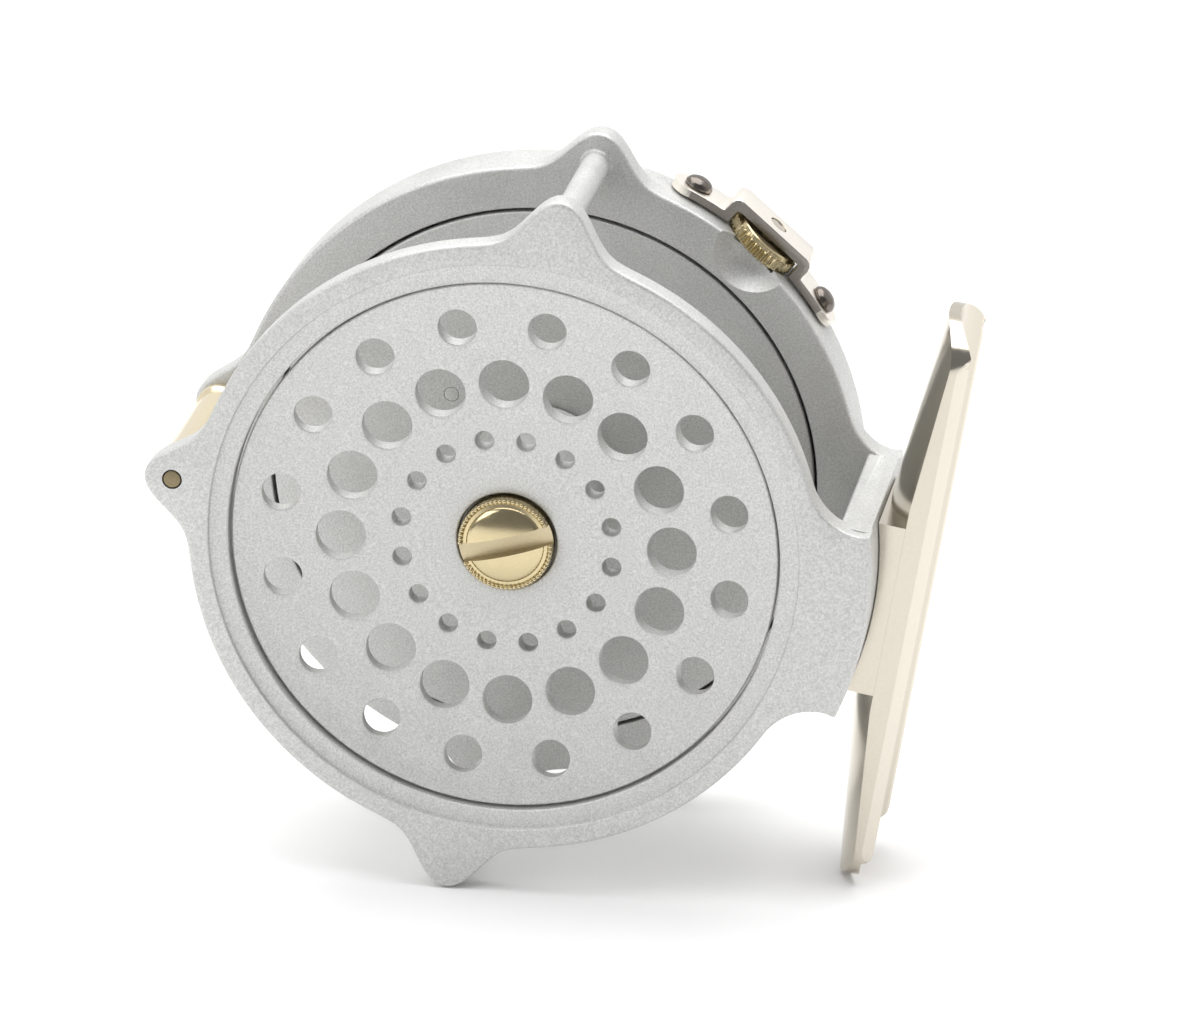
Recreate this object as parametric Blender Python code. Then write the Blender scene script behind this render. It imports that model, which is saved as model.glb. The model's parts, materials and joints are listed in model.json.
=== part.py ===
"""A raised-pillar fly reel with a perforated drum, a winding plate, a click check and a nickel-silver foot.

The reel stands on its two lower lobes and the lower end of its foot.  +Z is up, the drum's axis runs
along +Y, and the perforated face looks towards -Y.  Sizes are written in millimetres and turned into
metres when the meshes are made.  Everything is laid out in the reel's own frame, in which the foot points
along +X and the drum's axis is the Y axis, with y = 0 on the front ring's face.  The empty "reel_frame"
then leans the whole reel over to the attitude in which it stands.
"""
import math

import bmesh
import bpy
from mathutils import Matrix, Vector

MM = 0.001

# Attitude and place of the reel's frame in the world.
LEAN = 9.6
AXIS_X = -5.11
AXIS_Y = -28.27
AXIS_Z = 41.87

# Front ring.
RING_R = 36.4
RING_T = 3.3
RING_BORE = 31.9
RING_STEP_R = 34.0
RING_STEP = 0.5
EDGE = 0.5

# Rear plate and the cup behind it.
CUP_R = 37.3
REAR_Y = 26.7
PLATE_T = 3.6
CUP_END = 36.0
CUP_BORE = 32.6
CUP_ROUND = 2.3
WEB_Y = 33.4
WEB_BACK = 34.6
RECESS_R = 32.3
BOSS_R = 9.8
BOSS_END = 36.8
RACE_R = 8.0
LIP_R = 6.9

# Lobes: three ogee tips and the wide pad that carries the foot.
LOBE_ANGLES = (90.0, 180.0, 270.0)
LOBE_TIP_R = 42.3
LOBE_WIDTH = 4.1
PAD_R = 42.2
PAD_HALF_ANGLE = 15.3
PAD_FILLET = 5.9
PILLAR_R = 38.6
PILLAR_RADIUS = 1.6
BLOCK_HALF = 11.1
BLOCK_INNER = 37.0

# Drum.
DRUM_TURN = -1.3
DRUM_R = 31.5
ARBOR_R = 7.6
BORE_R = 3.3
REAR_FLANGE_R = 32.0
REAR_FLANGE_T = 1.4
NUT_SEAT_R = 5.8
HOLES_PER_RING = 16
OUTER_HOLES = (26.3, 2.2, 0.0, 8)
MIDDLE_HOLES = (19.1, 2.87, 11.25, 10)
INNER_HOLES = (12.34, 1.1, 0.0, 6)

# Spindle, winding plate and handle.
SPINDLE_R = 3.0
SLEEVE_R = 4.0
PLATE_R = 31.9
PLATE_Y = 34.9
CAP_R = 12.2
CAP_END = 38.4
DRIVE_PIN_CIRCLE = 5.9
DRIVE_PIN_R = 0.9
HANDLE_R = 25.5
HANDLE_ANGLE = 273.0
HANDLE_POST_R = 1.5
KNOB_START = 37.4
KNOB_END = 55.0

# Ball bearing.
BALL_COUNT = 8
BALL_R = 0.8
BALL_CIRCLE = 5.95
BEARING_Y0 = 34.7
BEARING_Y1 = 36.5

# Click check and its regulator.
CHECK_ANGLE = 57.9
CHECK_Y = 32.0
TEETH = 24
TOOTH_TIP = 17.4
TOOTH_ROOT = 16.0
WHEEL_Y0 = 31.2
WHEEL_Y1 = 32.6
RIVET_R = 14.1
RIVET_ANGLES = (30.3, 150.3, 270.3)
RIVET_SHANK_R = 0.6
PAWL_PIVOT_R = 0.9
PAWL_POST_R = 21.4
PAWL_POST_OFF = 9.2
PAWL_BACK = 22.2
SPRING_END = 28.3
SPRING_R = 0.95
SPRING_WIRE = 0.2
SPRING_TURNS = 5
SCREW_END = 40.4
SCREW_R = 0.9
STRAP_SCREW_R = 0.8
KNURL_R = 4.6
KNURL_COUNT = 22
KNURL_IN = 36.9
KNURL_OUT = 39.0
SEAT_IN = 36.5
STRAP_HALF_WIDTH = 2.5
STRAP_T = 1.25
STRAP_ARC = 19.1
STRAP_TOP = 39.2
STRAP_WINDOW = 4.95
STRAP_SCREW_ANGLE = 14.7
SCALLOP_R = 5.5

# Line roller in the left lobe.
ROLLER_ANGLE = 180.0
PIN_R = 1.15
ROLLER_R = 2.4

# Foot.
FOOT_Y = 15.0
FOOT_HALF = 7.9
FOOT_LENGTH = 69.4
HORN_X = 47.6
TONGUE_X = 46.35
TONGUE_START = 30.9
TROUGH_R = 11.5
TROUGH_HALF = 7.3
SADDLE_HALF = 10.4
FOOT_SCREW_Z = 6.4
FOOT_SCREW_R = 1.3
FOOT_SLOT = [(44.2, -0.3), (50.0, -0.3), (50.0, 0.3), (44.2, 0.3)]

CLEAR = 0.3

# A cutter that goes right through the rim starts and ends well clear of it.
THROUGH_IN = 30.0
THROUGH_OUT = 45.0


def clear_scene():
    for old in list(bpy.data.objects):
        bpy.data.objects.remove(old, do_unlink=True)


def material(name, colour, roughness, metallic=1.0):
    mat = bpy.data.materials.new(name)
    mat.use_nodes = True
    shader = mat.node_tree.nodes["Principled BSDF"]
    shader.inputs["Base Color"].default_value = (*colour, 1.0)
    shader.inputs["Roughness"].default_value = roughness
    shader.inputs["Metallic"].default_value = metallic
    mat.diffuse_color = (*colour, 1.0)
    return mat


def polar(radius, angle, y=0.0):
    """A point given by its distance from the drum's axis and its angle from +X towards +Z."""
    turn = math.radians(angle)
    return Vector((radius * math.cos(turn), y, radius * math.sin(turn)))


def reel_frame():
    frame = bpy.data.objects.new("reel_frame", None)
    frame.location = Vector((AXIS_X, AXIS_Y, AXIS_Z)) * MM
    frame.rotation_euler = (0.0, math.radians(LEAN), 0.0)
    bpy.context.scene.collection.objects.link(frame)
    return frame


def finish_mesh(name, bm, mat, origin=(0.0, 0.0, 0.0), turn=None):
    """Close the bmesh off as an object whose origin is at the given point of the reel's frame."""
    bmesh.ops.recalc_face_normals(bm, faces=bm.faces)
    bmesh.ops.scale(bm, vec=(MM, MM, MM), verts=bm.verts)
    mesh = bpy.data.meshes.new(name)
    bm.to_mesh(mesh)
    bm.free()
    mesh.shade_smooth()
    mesh.set_sharp_from_angle(angle=math.radians(30.0))
    if mat is not None:
        mesh.materials.append(mat)
    obj = bpy.data.objects.new(name, mesh)
    bpy.context.scene.collection.objects.link(obj)
    obj.parent = FRAME
    obj.location = Vector(origin) * MM
    if turn is not None:
        obj.rotation_euler = turn.to_euler()
    return obj


def radial_turn(angle):
    """The rotation that lays a piece turned about Y along the radius at this angle."""
    return Matrix.Rotation(-math.radians(angle), 4, "Y") @ Matrix.Rotation(-math.pi / 2, 4, "Z")


def add_turned(bm, profile, segments, centre=(0.0, 0.0, 0.0), phase=0.0):
    """Turn a closed profile of (radius, y) points about the Y axis through the centre."""
    middle = Vector(centre)
    rings = []
    for radius, y in profile:
        if radius == 0.0:
            rings.append([bm.verts.new(middle + Vector((0.0, y, 0.0)))])
            continue
        steps = [360.0 * (k + phase) / segments for k in range(segments)]
        rings.append([bm.verts.new(middle + polar(radius, angle, y)) for angle in steps])
    for first, second in zip(rings, rings[1:] + rings[:1]):
        if len(first) == 1 and len(second) == 1:
            continue
        for k in range(segments):
            after = (k + 1) % segments
            corners = [first[k % len(first)], first[after % len(first)]]
            corners += [second[after % len(second)], second[k % len(second)]]
            unique = list(dict.fromkeys(corners))
            bm.faces.new(unique)


def turned(name, profile, segments, mat, origin=(0.0, 0.0, 0.0), turn=None):
    bm = bmesh.new()
    add_turned(bm, profile, segments)
    return finish_mesh(name, bm, mat, origin, turn)


def rod(radius, y0, y1):
    return [(0.0, y0), (radius, y0), (radius, y1), (0.0, y1)]


def tube(inner, outer, y0, y1):
    return [(inner, y0), (outer, y0), (outer, y1), (inner, y1)]


def add_prism(bm, outline, y0, y1):
    """Extrude an outline of (x, z) points along Y."""
    near = [bm.verts.new((x, y0, z)) for x, z in outline]
    far = [bm.verts.new((x, y1, z)) for x, z in outline]
    bm.faces.new(near)
    bm.faces.new(far)
    count = len(outline)
    for k in range(count):
        after = (k + 1) % count
        bm.faces.new((near[k], near[after], far[after], far[k]))


def prism(name, outline, y0, y1, mat, origin=(0.0, 0.0, 0.0), turn=None):
    bm = bmesh.new()
    add_prism(bm, outline, y0, y1)
    return finish_mesh(name, bm, mat, origin, turn)


def loft(name, loops, mat, closed=False, origin=(0.0, 0.0, 0.0), turn=None):
    """Skin loops of equal length; a closed loft joins its last loop to its first, an open one is capped."""
    bm = bmesh.new()
    rings = [[bm.verts.new(point) for point in loop] for loop in loops]
    pairs = list(zip(rings, rings[1:]))
    if closed:
        pairs.append((rings[-1], rings[0]))
    else:
        bm.faces.new(rings[0])
        bm.faces.new(rings[-1])
    count = len(rings[0])
    for first, second in pairs:
        for k in range(count):
            after = (k + 1) % count
            bm.faces.new((first[k], first[after], second[after], second[k]))
    return finish_mesh(name, bm, mat, origin, turn)


def as_tool(obj):
    """Mark a cutter or a piece that a Boolean takes up, so that it isn't a part of its own."""
    obj.hide_render = True
    obj.display_type = "WIRE"
    obj.hide_set(True)
    return obj


def combine(obj, tool, operation):
    modifier = obj.modifiers.new(f"{operation.lower()}_{tool.name}", "BOOLEAN")
    modifier.operation = operation
    modifier.solver = "EXACT"
    modifier.object = as_tool(tool)


def cut(obj, tool):
    combine(obj, tool, "DIFFERENCE")


def unite(obj, tool):
    combine(obj, tool, "UNION")


def cylinders(name, spots, radius, y0, y1, segments):
    """One cutter made of equal cylinders along Y at the given points."""
    bm = bmesh.new()
    for spot in spots:
        add_turned(bm, rod(radius, y0, y1), segments, spot, 0.5)
    return finish_mesh(name, bm, None)


# ---------------------------------------------------------------- outline of the ring and the rear plate

def outline_angles():
    """Angles that follow the lobes closely and the plain arcs loosely."""
    angles = set()
    for lobe in LOBE_ANGLES:
        angles.update(lobe + step * 3.1 for step in range(-4, 5))
    for side in (-1, 1):
        angles.update(side * (PAD_HALF_ANGLE + step) for step in (0.0, 0.8, 2.0, 4.2, 8.3))
        angles.add(side * 5.1)
    for low, high in ((24.0, 76.0), (104.0, 166.0), (194.0, 256.0), (284.0, 336.0)):
        count = round((high - low) / 9.0)
        angles.update(low + (high - low) * k / count for k in range(1, count))
    return sorted(angle % 360.0 for angle in angles)


def outline_radius(angle, base, inset):
    """The lobed outline: bell-shaped ogee lobes on a circle, and a pad with quarter-round shoulders."""
    radius = base
    for lobe in LOBE_ANGLES:
        across = math.radians(angle - lobe) * base
        radius += (LOBE_TIP_R - base) * math.exp(-abs(across / LOBE_WIDTH) ** 2.2)
    from_pad = abs((angle + 180.0) % 360.0 - 180.0) - PAD_HALF_ANGLE
    if from_pad <= 0.001:
        return PAD_R - inset
    across = math.radians(from_pad) * base
    if across < PAD_FILLET:
        rise = PAD_FILLET - math.sqrt(PAD_FILLET ** 2 - (PAD_FILLET - across) ** 2)
        radius += rise * (PAD_R - base) / PAD_FILLET
    return radius - inset


def outline_loop(y, base, inset):
    return [polar(outline_radius(angle, base, inset), angle, y) for angle in outline_angles()]


def circle_loop(radius, y):
    return [polar(radius, angle, y) for angle in outline_angles()]


# ---------------------------------------------------------------- cage

def front_ring():
    loops = [
        circle_loop(RING_BORE, RING_T),
        circle_loop(RING_BORE, RING_STEP),
        circle_loop(RING_STEP_R - 0.2, RING_STEP),
        circle_loop(RING_STEP_R, 0.0),
        outline_loop(0.0, RING_R, EDGE),
        outline_loop(EDGE, RING_R, 0.0),
        outline_loop(RING_T - EDGE, RING_R, 0.0),
        outline_loop(RING_T, RING_R, EDGE),
    ]
    return loft("ring_stock", loops, None, closed=True)


def rear_housing(mat):
    back = CUP_END - CUP_ROUND
    loops = [
        circle_loop(CUP_BORE, REAR_Y),
        outline_loop(REAR_Y, CUP_R, EDGE),
        outline_loop(REAR_Y + EDGE, CUP_R, 0.0),
        outline_loop(REAR_Y + PLATE_T - EDGE, CUP_R, 0.0),
        outline_loop(REAR_Y + PLATE_T, CUP_R, 0.05),
        circle_loop(CUP_R, REAR_Y + PLATE_T + 0.1),
        circle_loop(CUP_R, back),
        circle_loop(CUP_R - CUP_ROUND * 0.3, back + CUP_ROUND * 0.7),
        circle_loop(CUP_R - CUP_ROUND, CUP_END),
        circle_loop(RECESS_R, CUP_END),
        circle_loop(RECESS_R, WEB_BACK),
        circle_loop(BOSS_R, WEB_BACK),
        circle_loop(BOSS_R, BOSS_END),
        circle_loop(RACE_R + 0.1, BOSS_END),
        circle_loop(RACE_R + 0.1, WEB_BACK - 0.2),
        circle_loop(LIP_R, WEB_BACK - 0.2),
        circle_loop(LIP_R, WEB_Y),
        circle_loop(CUP_BORE, WEB_Y),
    ]
    return loft("cage", loops, mat, closed=True)


def pillars():
    """The two round pillars and the foot block, which tie the ring to the rear plate."""
    near = RING_T / 2
    far = REAR_Y + PLATE_T / 2
    bm = bmesh.new()
    for angle in (90.0, 270.0):
        add_turned(bm, rod(PILLAR_RADIUS, near, far), 10, polar(PILLAR_R, angle))
    half = math.degrees(math.asin(BLOCK_HALF / PAD_R))
    arc = [polar(PAD_R - 0.15, half * k / 3) for k in range(-3, 4)]
    outline = [(BLOCK_INNER, -BLOCK_HALF)] + [(p.x, p.z) for p in arc] + [(BLOCK_INNER, BLOCK_HALF)]
    add_prism(bm, outline, near, far)
    return finish_mesh("pillar_stock", bm, None)


def scallop():
    """The thumb scallop in the plate's face, a ball-end cut that bares the knurled wheel."""
    steps = [math.radians(angle) for angle in (-60.0, -30.0, 0.0, 22.0, 44.0, 66.0)]
    ball = [(SCALLOP_R * math.cos(step), SCALLOP_R * math.sin(step)) for step in steps]
    profile = [(0.0, ball[0][1])] + ball + [(0.0, SCALLOP_R)]
    return turned("scallop_cutter", profile, 16, None, polar(37.6, CHECK_ANGLE + 0.4, REAR_Y - 2.9))


def build_cage(mat):
    cage = rear_housing(mat)
    unite(cage, front_ring())
    unite(cage, pillars())
    cut(cage, cylinders("pin_bore_cutter", [polar(PILLAR_R, ROLLER_ANGLE)], PIN_R + CLEAR, -1.0, 40.0, 12))
    cut(cage, scallop())
    across = radial_turn(CHECK_ANGLE)
    pocket = rod(KNURL_R + 0.4, SEAT_IN, THROUGH_OUT)
    cut(cage, turned("wheel_pocket_cutter", pocket, 24, None, (0.0, CHECK_Y, 0.0), across))
    bore = rod(SCREW_R + CLEAR, THROUGH_IN, THROUGH_OUT)
    cut(cage, turned("screw_bore_cutter", bore, 8, None, (0.0, CHECK_Y, 0.0), across))
    for number, side in enumerate((-1, 1)):
        turn = radial_turn(CHECK_ANGLE + side * STRAP_SCREW_ANGLE)
        bore = rod(STRAP_SCREW_R + CLEAR, 34.6, THROUGH_OUT)
        cut(cage, turned(f"strap_bore_cutter_{number}", bore, 8, None, (0.0, CHECK_Y, 0.0), turn))
        place = (0.0, FOOT_Y, side * FOOT_SCREW_Z)
        bore = rod(FOOT_SCREW_R + CLEAR, 38.6, THROUGH_OUT)
        cut(cage, turned(f"foot_bore_cutter_{number}", bore, 8, None, place, radial_turn(0.0)))
    return cage


# ---------------------------------------------------------------- foot

def foot_section(z):
    """One section of the foot: a crescent with its hollow side towards the rod."""
    end = FOOT_LENGTH / 2
    from_end = end - abs(z)
    half = FOOT_HALF
    if from_end < 4.0:
        half = FOOT_HALF - 4.6 * (1.0 - math.sqrt(1.0 - (1.0 - from_end / 4.0) ** 2))
    slope = (abs(z) - 12.5) / (end - 12.5)
    vertex = 41.4 + 2.3 * max(0.0, slope)
    edge = 44.1 + 1.8 * max(0.0, slope)
    top = TONGUE_X if abs(z) >= TONGUE_START else HORN_X
    root = math.sqrt(TROUGH_R ** 2 - TROUGH_HALF ** 2)
    rows = 8
    spread = [-1.0 + 2.0 * k / rows for k in range(rows + 1)]
    rod_side = []
    for share in spread:
        v = share * half
        depth = max(0.0, math.sqrt(TROUGH_R ** 2 - v * v) - root)
        rod_side.append(Vector((min(HORN_X - depth, top), FOOT_Y + v, z)))
    reel_side = []
    for share in reversed(spread):
        x = vertex + (edge - vertex) * share * share
        reel_side.append(Vector((x, FOOT_Y + share * half, z)))
    return rod_side + reel_side


def build_foot(mat):
    end = FOOT_LENGTH / 2
    inner = [0.0, 12.5, 22.0, TONGUE_START - 0.9, TONGUE_START]
    inner += [end - step for step in (3.0, 1.8, 0.8, 0.2, 0.0)]
    stations = sorted({-z for z in inner} | set(inner))
    foot = loft("foot", [foot_section(z) for z in stations], mat)
    block = [(40.6, -SADDLE_HALF), (45.4, -SADDLE_HALF), (45.4, SADDLE_HALF), (40.6, SADDLE_HALF)]
    width = FOOT_HALF - 0.02
    unite(foot, prism("saddle_stock", block, FOOT_Y - width, FOOT_Y + width, None))
    trough = turned("trough_cutter", rod(TROUGH_R, -SADDLE_HALF - 1.0, SADDLE_HALF + 1.0), 48, None)
    trough.location = Vector((HORN_X + math.sqrt(TROUGH_R ** 2 - TROUGH_HALF ** 2), FOOT_Y, 0.0)) * MM
    trough.rotation_euler = (math.pi / 2, 0.0, 0.0)
    cut(foot, trough)
    cut(foot, turned("saddle_cutter", rod(PAD_R + CLEAR, -5.0, 40.0), 90, None))
    for number, side in enumerate((-1, 1)):
        place = (0.0, FOOT_Y, side * FOOT_SCREW_Z)
        wall = FOOT_SCREW_R + CLEAR
        hole = [(0.0, 38.0), (wall, 38.0), (wall, 43.0), (3.1, 44.5), (3.1, 50.0), (0.0, 50.0)]
        cut(foot, turned(f"foot_hole_cutter_{number}", hole, 16, None, place, radial_turn(0.0)))
    return foot


def build_foot_screws(mat):
    shank = FOOT_SCREW_R
    profile = [(0.0, 39.2), (shank, 39.2), (shank, 43.1), (2.7, 44.5), (2.7, 44.7), (0.0, 44.7)]
    for name, side in (("foot_screw_lower", -1), ("foot_screw_upper", 1)):
        screw = turned(name, profile, 16, mat, (0.0, FOOT_Y, side * FOOT_SCREW_Z), radial_turn(0.0))
        slot = prism(f"{name}_slot_cutter", FOOT_SLOT, -4.0, 4.0, None)
        slot.location = Vector((0.0, FOOT_Y, side * FOOT_SCREW_Z)) * MM
        cut(screw, slot)


# ---------------------------------------------------------------- line roller

def build_roller(pin_mat, roller_mat):
    centre = polar(PILLAR_R, ROLLER_ANGLE)
    pin = [(0.0, -0.15), (0.9, -0.15), (PIN_R, 0.1), (PIN_R, 30.1), (0.9, 30.35), (0.0, 30.35)]
    turned("roller_pin", pin, 12, pin_mat, centre)
    y0 = RING_T + CLEAR
    y1 = REAR_Y - CLEAR
    bore = PIN_R + CLEAR
    sleeve = [
        (bore, y0), (ROLLER_R - 0.2, y0), (ROLLER_R, y0 + 0.3),
        (ROLLER_R, y1 - 0.3), (ROLLER_R - 0.2, y1), (bore, y1),
    ]
    turned("line_roller", sleeve, 16, roller_mat, centre)


# ---------------------------------------------------------------- drum

def turn_drum(obj):
    """Turn a piece of the drum to where the drum stands in the cage."""
    obj.rotation_euler = (0.0, -math.radians(DRUM_TURN), 0.0)
    return obj


def ring_of_points(radius, first, count):
    return [polar(radius, first + 360.0 * k / count) for k in range(count)]


def build_drum(mat):
    profile = [
        (BORE_R, 5.0), (NUT_SEAT_R, 5.0), (NUT_SEAT_R, 3.45),
        (14.8, 3.15), (23.1, 2.55), (29.4, 1.7), (DRUM_R - 0.15, 1.25), (DRUM_R, 1.4),
        (DRUM_R, 2.9), (29.4, 3.6), (14.8, 5.1), (ARBOR_R + 0.9, 5.9), (ARBOR_R, 7.4),
        (ARBOR_R, 24.6), (ARBOR_R + 1.0, 26.4), (BORE_R, 26.4),
    ]
    drum = turn_drum(turned("drum", profile, 40, mat))
    for number, (circle, radius, first, segments) in enumerate((OUTER_HOLES, MIDDLE_HOLES, INNER_HOLES)):
        spots = ring_of_points(circle, first, HOLES_PER_RING)
        cut(drum, turn_drum(cylinders(f"hole_cutter_{number}", spots, radius, -2.0, 9.0, segments)))
    return drum


def build_rear_flange(mat):
    back = REAR_Y + REAR_FLANGE_T
    profile = [
        (BORE_R, REAR_Y), (REAR_FLANGE_R - 0.2, REAR_Y), (REAR_FLANGE_R, REAR_Y + 0.2),
        (REAR_FLANGE_R, back), (BORE_R, back),
    ]
    flange = turn_drum(turned("drum_rear_flange", profile, 40, mat))
    rivets = [polar(RIVET_R, angle) for angle in RIVET_ANGLES]
    cut(flange, turn_drum(cylinders("flange_rivet_cutter", rivets, RIVET_SHANK_R + CLEAR, 20.0, 31.0, 8)))
    pins = ring_of_points(DRIVE_PIN_CIRCLE, 0.0, 2)
    cut(flange, turn_drum(cylinders("flange_pin_cutter", pins, DRIVE_PIN_R + CLEAR, 20.0, 31.0, 8)))


def build_lock_screw(mat):
    """The coin-slotted screw that holds the drum, with a beaded rim and a domed centre."""
    head = [
        (0.0, 1.35), (2.4, 1.5), (4.4, 1.95), (4.5, 2.2), (5.1, 2.2), (5.5, 2.5), (5.5, 4.6),
        (3.6, 4.6), (3.6, 4.9), (1.8, 4.9), (1.8, 10.0), (1.5, 10.4), (0.0, 10.4),
    ]
    screw = turned("lock_screw", head, 28, mat)
    slot = prism("coin_slot_cutter", [(-7.0, -1.0), (7.0, -1.0), (7.0, 1.0), (-7.0, 1.0)], -1.0, 3.1, None)
    screw.rotation_euler = (0.0, -math.radians(15.0 + LEAN), 0.0)
    slot.rotation_euler = screw.rotation_euler
    cut(screw, slot)


def build_spindle(mat):
    profile = [
        (0.0, 11.2), (2.1, 11.2), (2.1, 5.4), (SPINDLE_R, 5.4), (SPINDLE_R, 37.2),
        (2.0, 37.2), (2.0, 40.2), (1.7, 40.5), (0.0, 40.5),
    ]
    turned("spindle", profile, 24, mat)


def build_winding_plate(mat):
    end = PLATE_Y + 1.3
    profile = [
        (SPINDLE_R + CLEAR, 28.6), (SLEEVE_R, 28.6), (SLEEVE_R, 37.1), (10.3, 37.1), (10.3, PLATE_Y),
        (PLATE_R - 0.2, PLATE_Y), (PLATE_R, PLATE_Y + 0.2), (PLATE_R, end - 0.3), (PLATE_R - 0.3, end),
        (CAP_R + 0.8, end), (CAP_R, end + 0.8), (CAP_R - 0.8, CAP_END - 0.5), (CAP_R - 1.5, CAP_END),
        (SPINDLE_R + CLEAR, CAP_END),
    ]
    plate = turned("winding_plate", profile, 36, mat)
    place = [polar(HANDLE_R, HANDLE_ANGLE)]
    cut(plate, cylinders("handle_bore_cutter", place, HANDLE_POST_R + CLEAR, 30.0, 40.0, 12))
    return plate


def build_spindle_nut(mat):
    y0 = CAP_END + 0.1
    profile = [(2.3, y0), (4.6, y0), (4.8, y0 + 0.2), (4.8, y0 + 1.2), (4.2, y0 + 1.6), (2.3, y0 + 1.6)]
    nut = turned("spindle_nut", profile, 24, mat)
    slot = [(-6.0, -0.5), (6.0, -0.5), (6.0, 0.5), (-6.0, 0.5)]
    cut(nut, prism("nut_slot_cutter", slot, y0 + 0.9, y0 + 3.0, None))


def build_drive(hub_mat, pin_mat):
    hub = turned("drive_hub", tube(SLEEVE_R + CLEAR, 7.4, 28.6, 31.4), 32, hub_mat)
    turn_drum(hub)
    for number, place in enumerate(ring_of_points(DRIVE_PIN_CIRCLE, DRUM_TURN, 2), start=1):
        turned(f"drive_pin_{number}", rod(DRIVE_PIN_R, 27.0, 28.5), 8, pin_mat, place)


def build_bearing(race_mat, ball_mat, clip_mat):
    middle = (BEARING_Y0 + BEARING_Y1) / 2
    outer = [
        (RACE_R, BEARING_Y0), (RACE_R, BEARING_Y1), (6.5, BEARING_Y1), (6.5, middle + 0.75),
        (BALL_CIRCLE + BALL_R + 0.2, middle), (6.5, middle - 0.75), (6.5, BEARING_Y0),
    ]
    inner = [
        (SLEEVE_R + 0.1, BEARING_Y0), (SLEEVE_R + 0.1, BEARING_Y1), (5.4, BEARING_Y1), (5.4, middle + 0.75),
        (BALL_CIRCLE - BALL_R - 0.2, middle), (5.4, middle - 0.75), (5.4, BEARING_Y0),
    ]
    turned("bearing_outer_race", outer, 24, race_mat)
    turned("bearing_inner_race", inner, 24, race_mat)
    for number, place in enumerate(ring_of_points(BALL_CIRCLE, 0.0, BALL_COUNT), start=1):
        bm = bmesh.new()
        bmesh.ops.create_icosphere(bm, subdivisions=2, radius=BALL_R)
        finish_mesh(f"bearing_ball_{number}", bm, ball_mat, place + Vector((0.0, middle, 0.0)))
    turned("bearing_clip", tube(4.6, 6.4, WEB_Y - 1.6, WEB_Y - 0.8), 16, clip_mat)


def build_handle(post_mat, knob_mat, collar_mat, screw_mat):
    place = polar(HANDLE_R, HANDLE_ANGLE)
    turned("handle_post", rod(HANDLE_POST_R, 35.1, 55.4), 16, post_mat, place)
    bore = HANDLE_POST_R + CLEAR
    collar = [(bore, 36.5), (4.4, 36.5), (4.4, 36.9), (4.0, 37.1), (bore, 37.1)]
    turned("handle_collar", collar, 24, collar_mat, place)
    knob = [
        (bore, KNOB_START), (3.6, KNOB_START), (3.9, KNOB_START + 0.5), (3.2, 41.0), (3.1, 43.0),
        (3.6, 46.5), (4.4, 50.0), (4.7, 52.2), (4.3, 54.2), (3.4, KNOB_END), (bore, KNOB_END),
    ]
    turned("handle_knob", knob, 24, knob_mat, place)
    cap = [(0.0, 55.7), (2.6, 55.7), (2.5, 56.2), (1.6, 56.6), (0.0, 56.7)]
    screw = turned("handle_screw", cap, 20, screw_mat, place)
    slot = prism("handle_slot_cutter", [(-4.0, -0.3), (4.0, -0.3), (4.0, 0.3), (-4.0, 0.3)], 56.3, 58.0, None)
    slot.location = place * MM
    cut(screw, slot)


# ---------------------------------------------------------------- click check

def gear_loop(y, tip, root):
    """One loop round the check wheel; a gap between two teeth faces the pawl."""
    points = []
    pitch = 360.0 / TEETH
    for tooth in range(TEETH):
        middle = CHECK_ANGLE + (tooth + 0.5) * pitch
        for step, radius in ((-0.30, root), (-0.08, tip), (0.08, tip), (0.30, root)):
            points.append(polar(radius, middle + step * pitch, y))
    return points


def build_check_wheel(mat):
    y0 = REAR_Y + REAR_FLANGE_T + CLEAR
    inner = 9.0
    hub = 15.4
    loops = [
        gear_loop(y0, inner, inner), gear_loop(y0, hub, hub), gear_loop(WHEEL_Y0, hub, hub),
        gear_loop(WHEEL_Y0, TOOTH_TIP, TOOTH_ROOT), gear_loop(WHEEL_Y1, TOOTH_TIP, TOOTH_ROOT),
        gear_loop(WHEEL_Y1, inner, inner),
    ]
    wheel = loft("check_wheel", loops, mat, closed=True)
    spots = [polar(RIVET_R, angle + DRUM_TURN) for angle in RIVET_ANGLES]
    cut(wheel, cylinders("wheel_rivet_cutter", spots, RIVET_SHANK_R + CLEAR, 20.0, 31.0, 8))


def build_rivets(mat):
    for number, angle in enumerate(RIVET_ANGLES, start=1):
        place = polar(RIVET_R, angle + DRUM_TURN)
        turned(f"wheel_rivet_{number}", rod(RIVET_SHANK_R, REAR_Y, 30.7), 8, mat, place)


def check_point(along, across):
    """A point near the check: distance from the drum's axis along the check's radius, and across it."""
    out = polar(1.0, CHECK_ANGLE)
    side = polar(1.0, CHECK_ANGLE + 90.0)
    return out * along + side * across


def pawl_place():
    return check_point(PAWL_POST_R, PAWL_POST_OFF)


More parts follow.
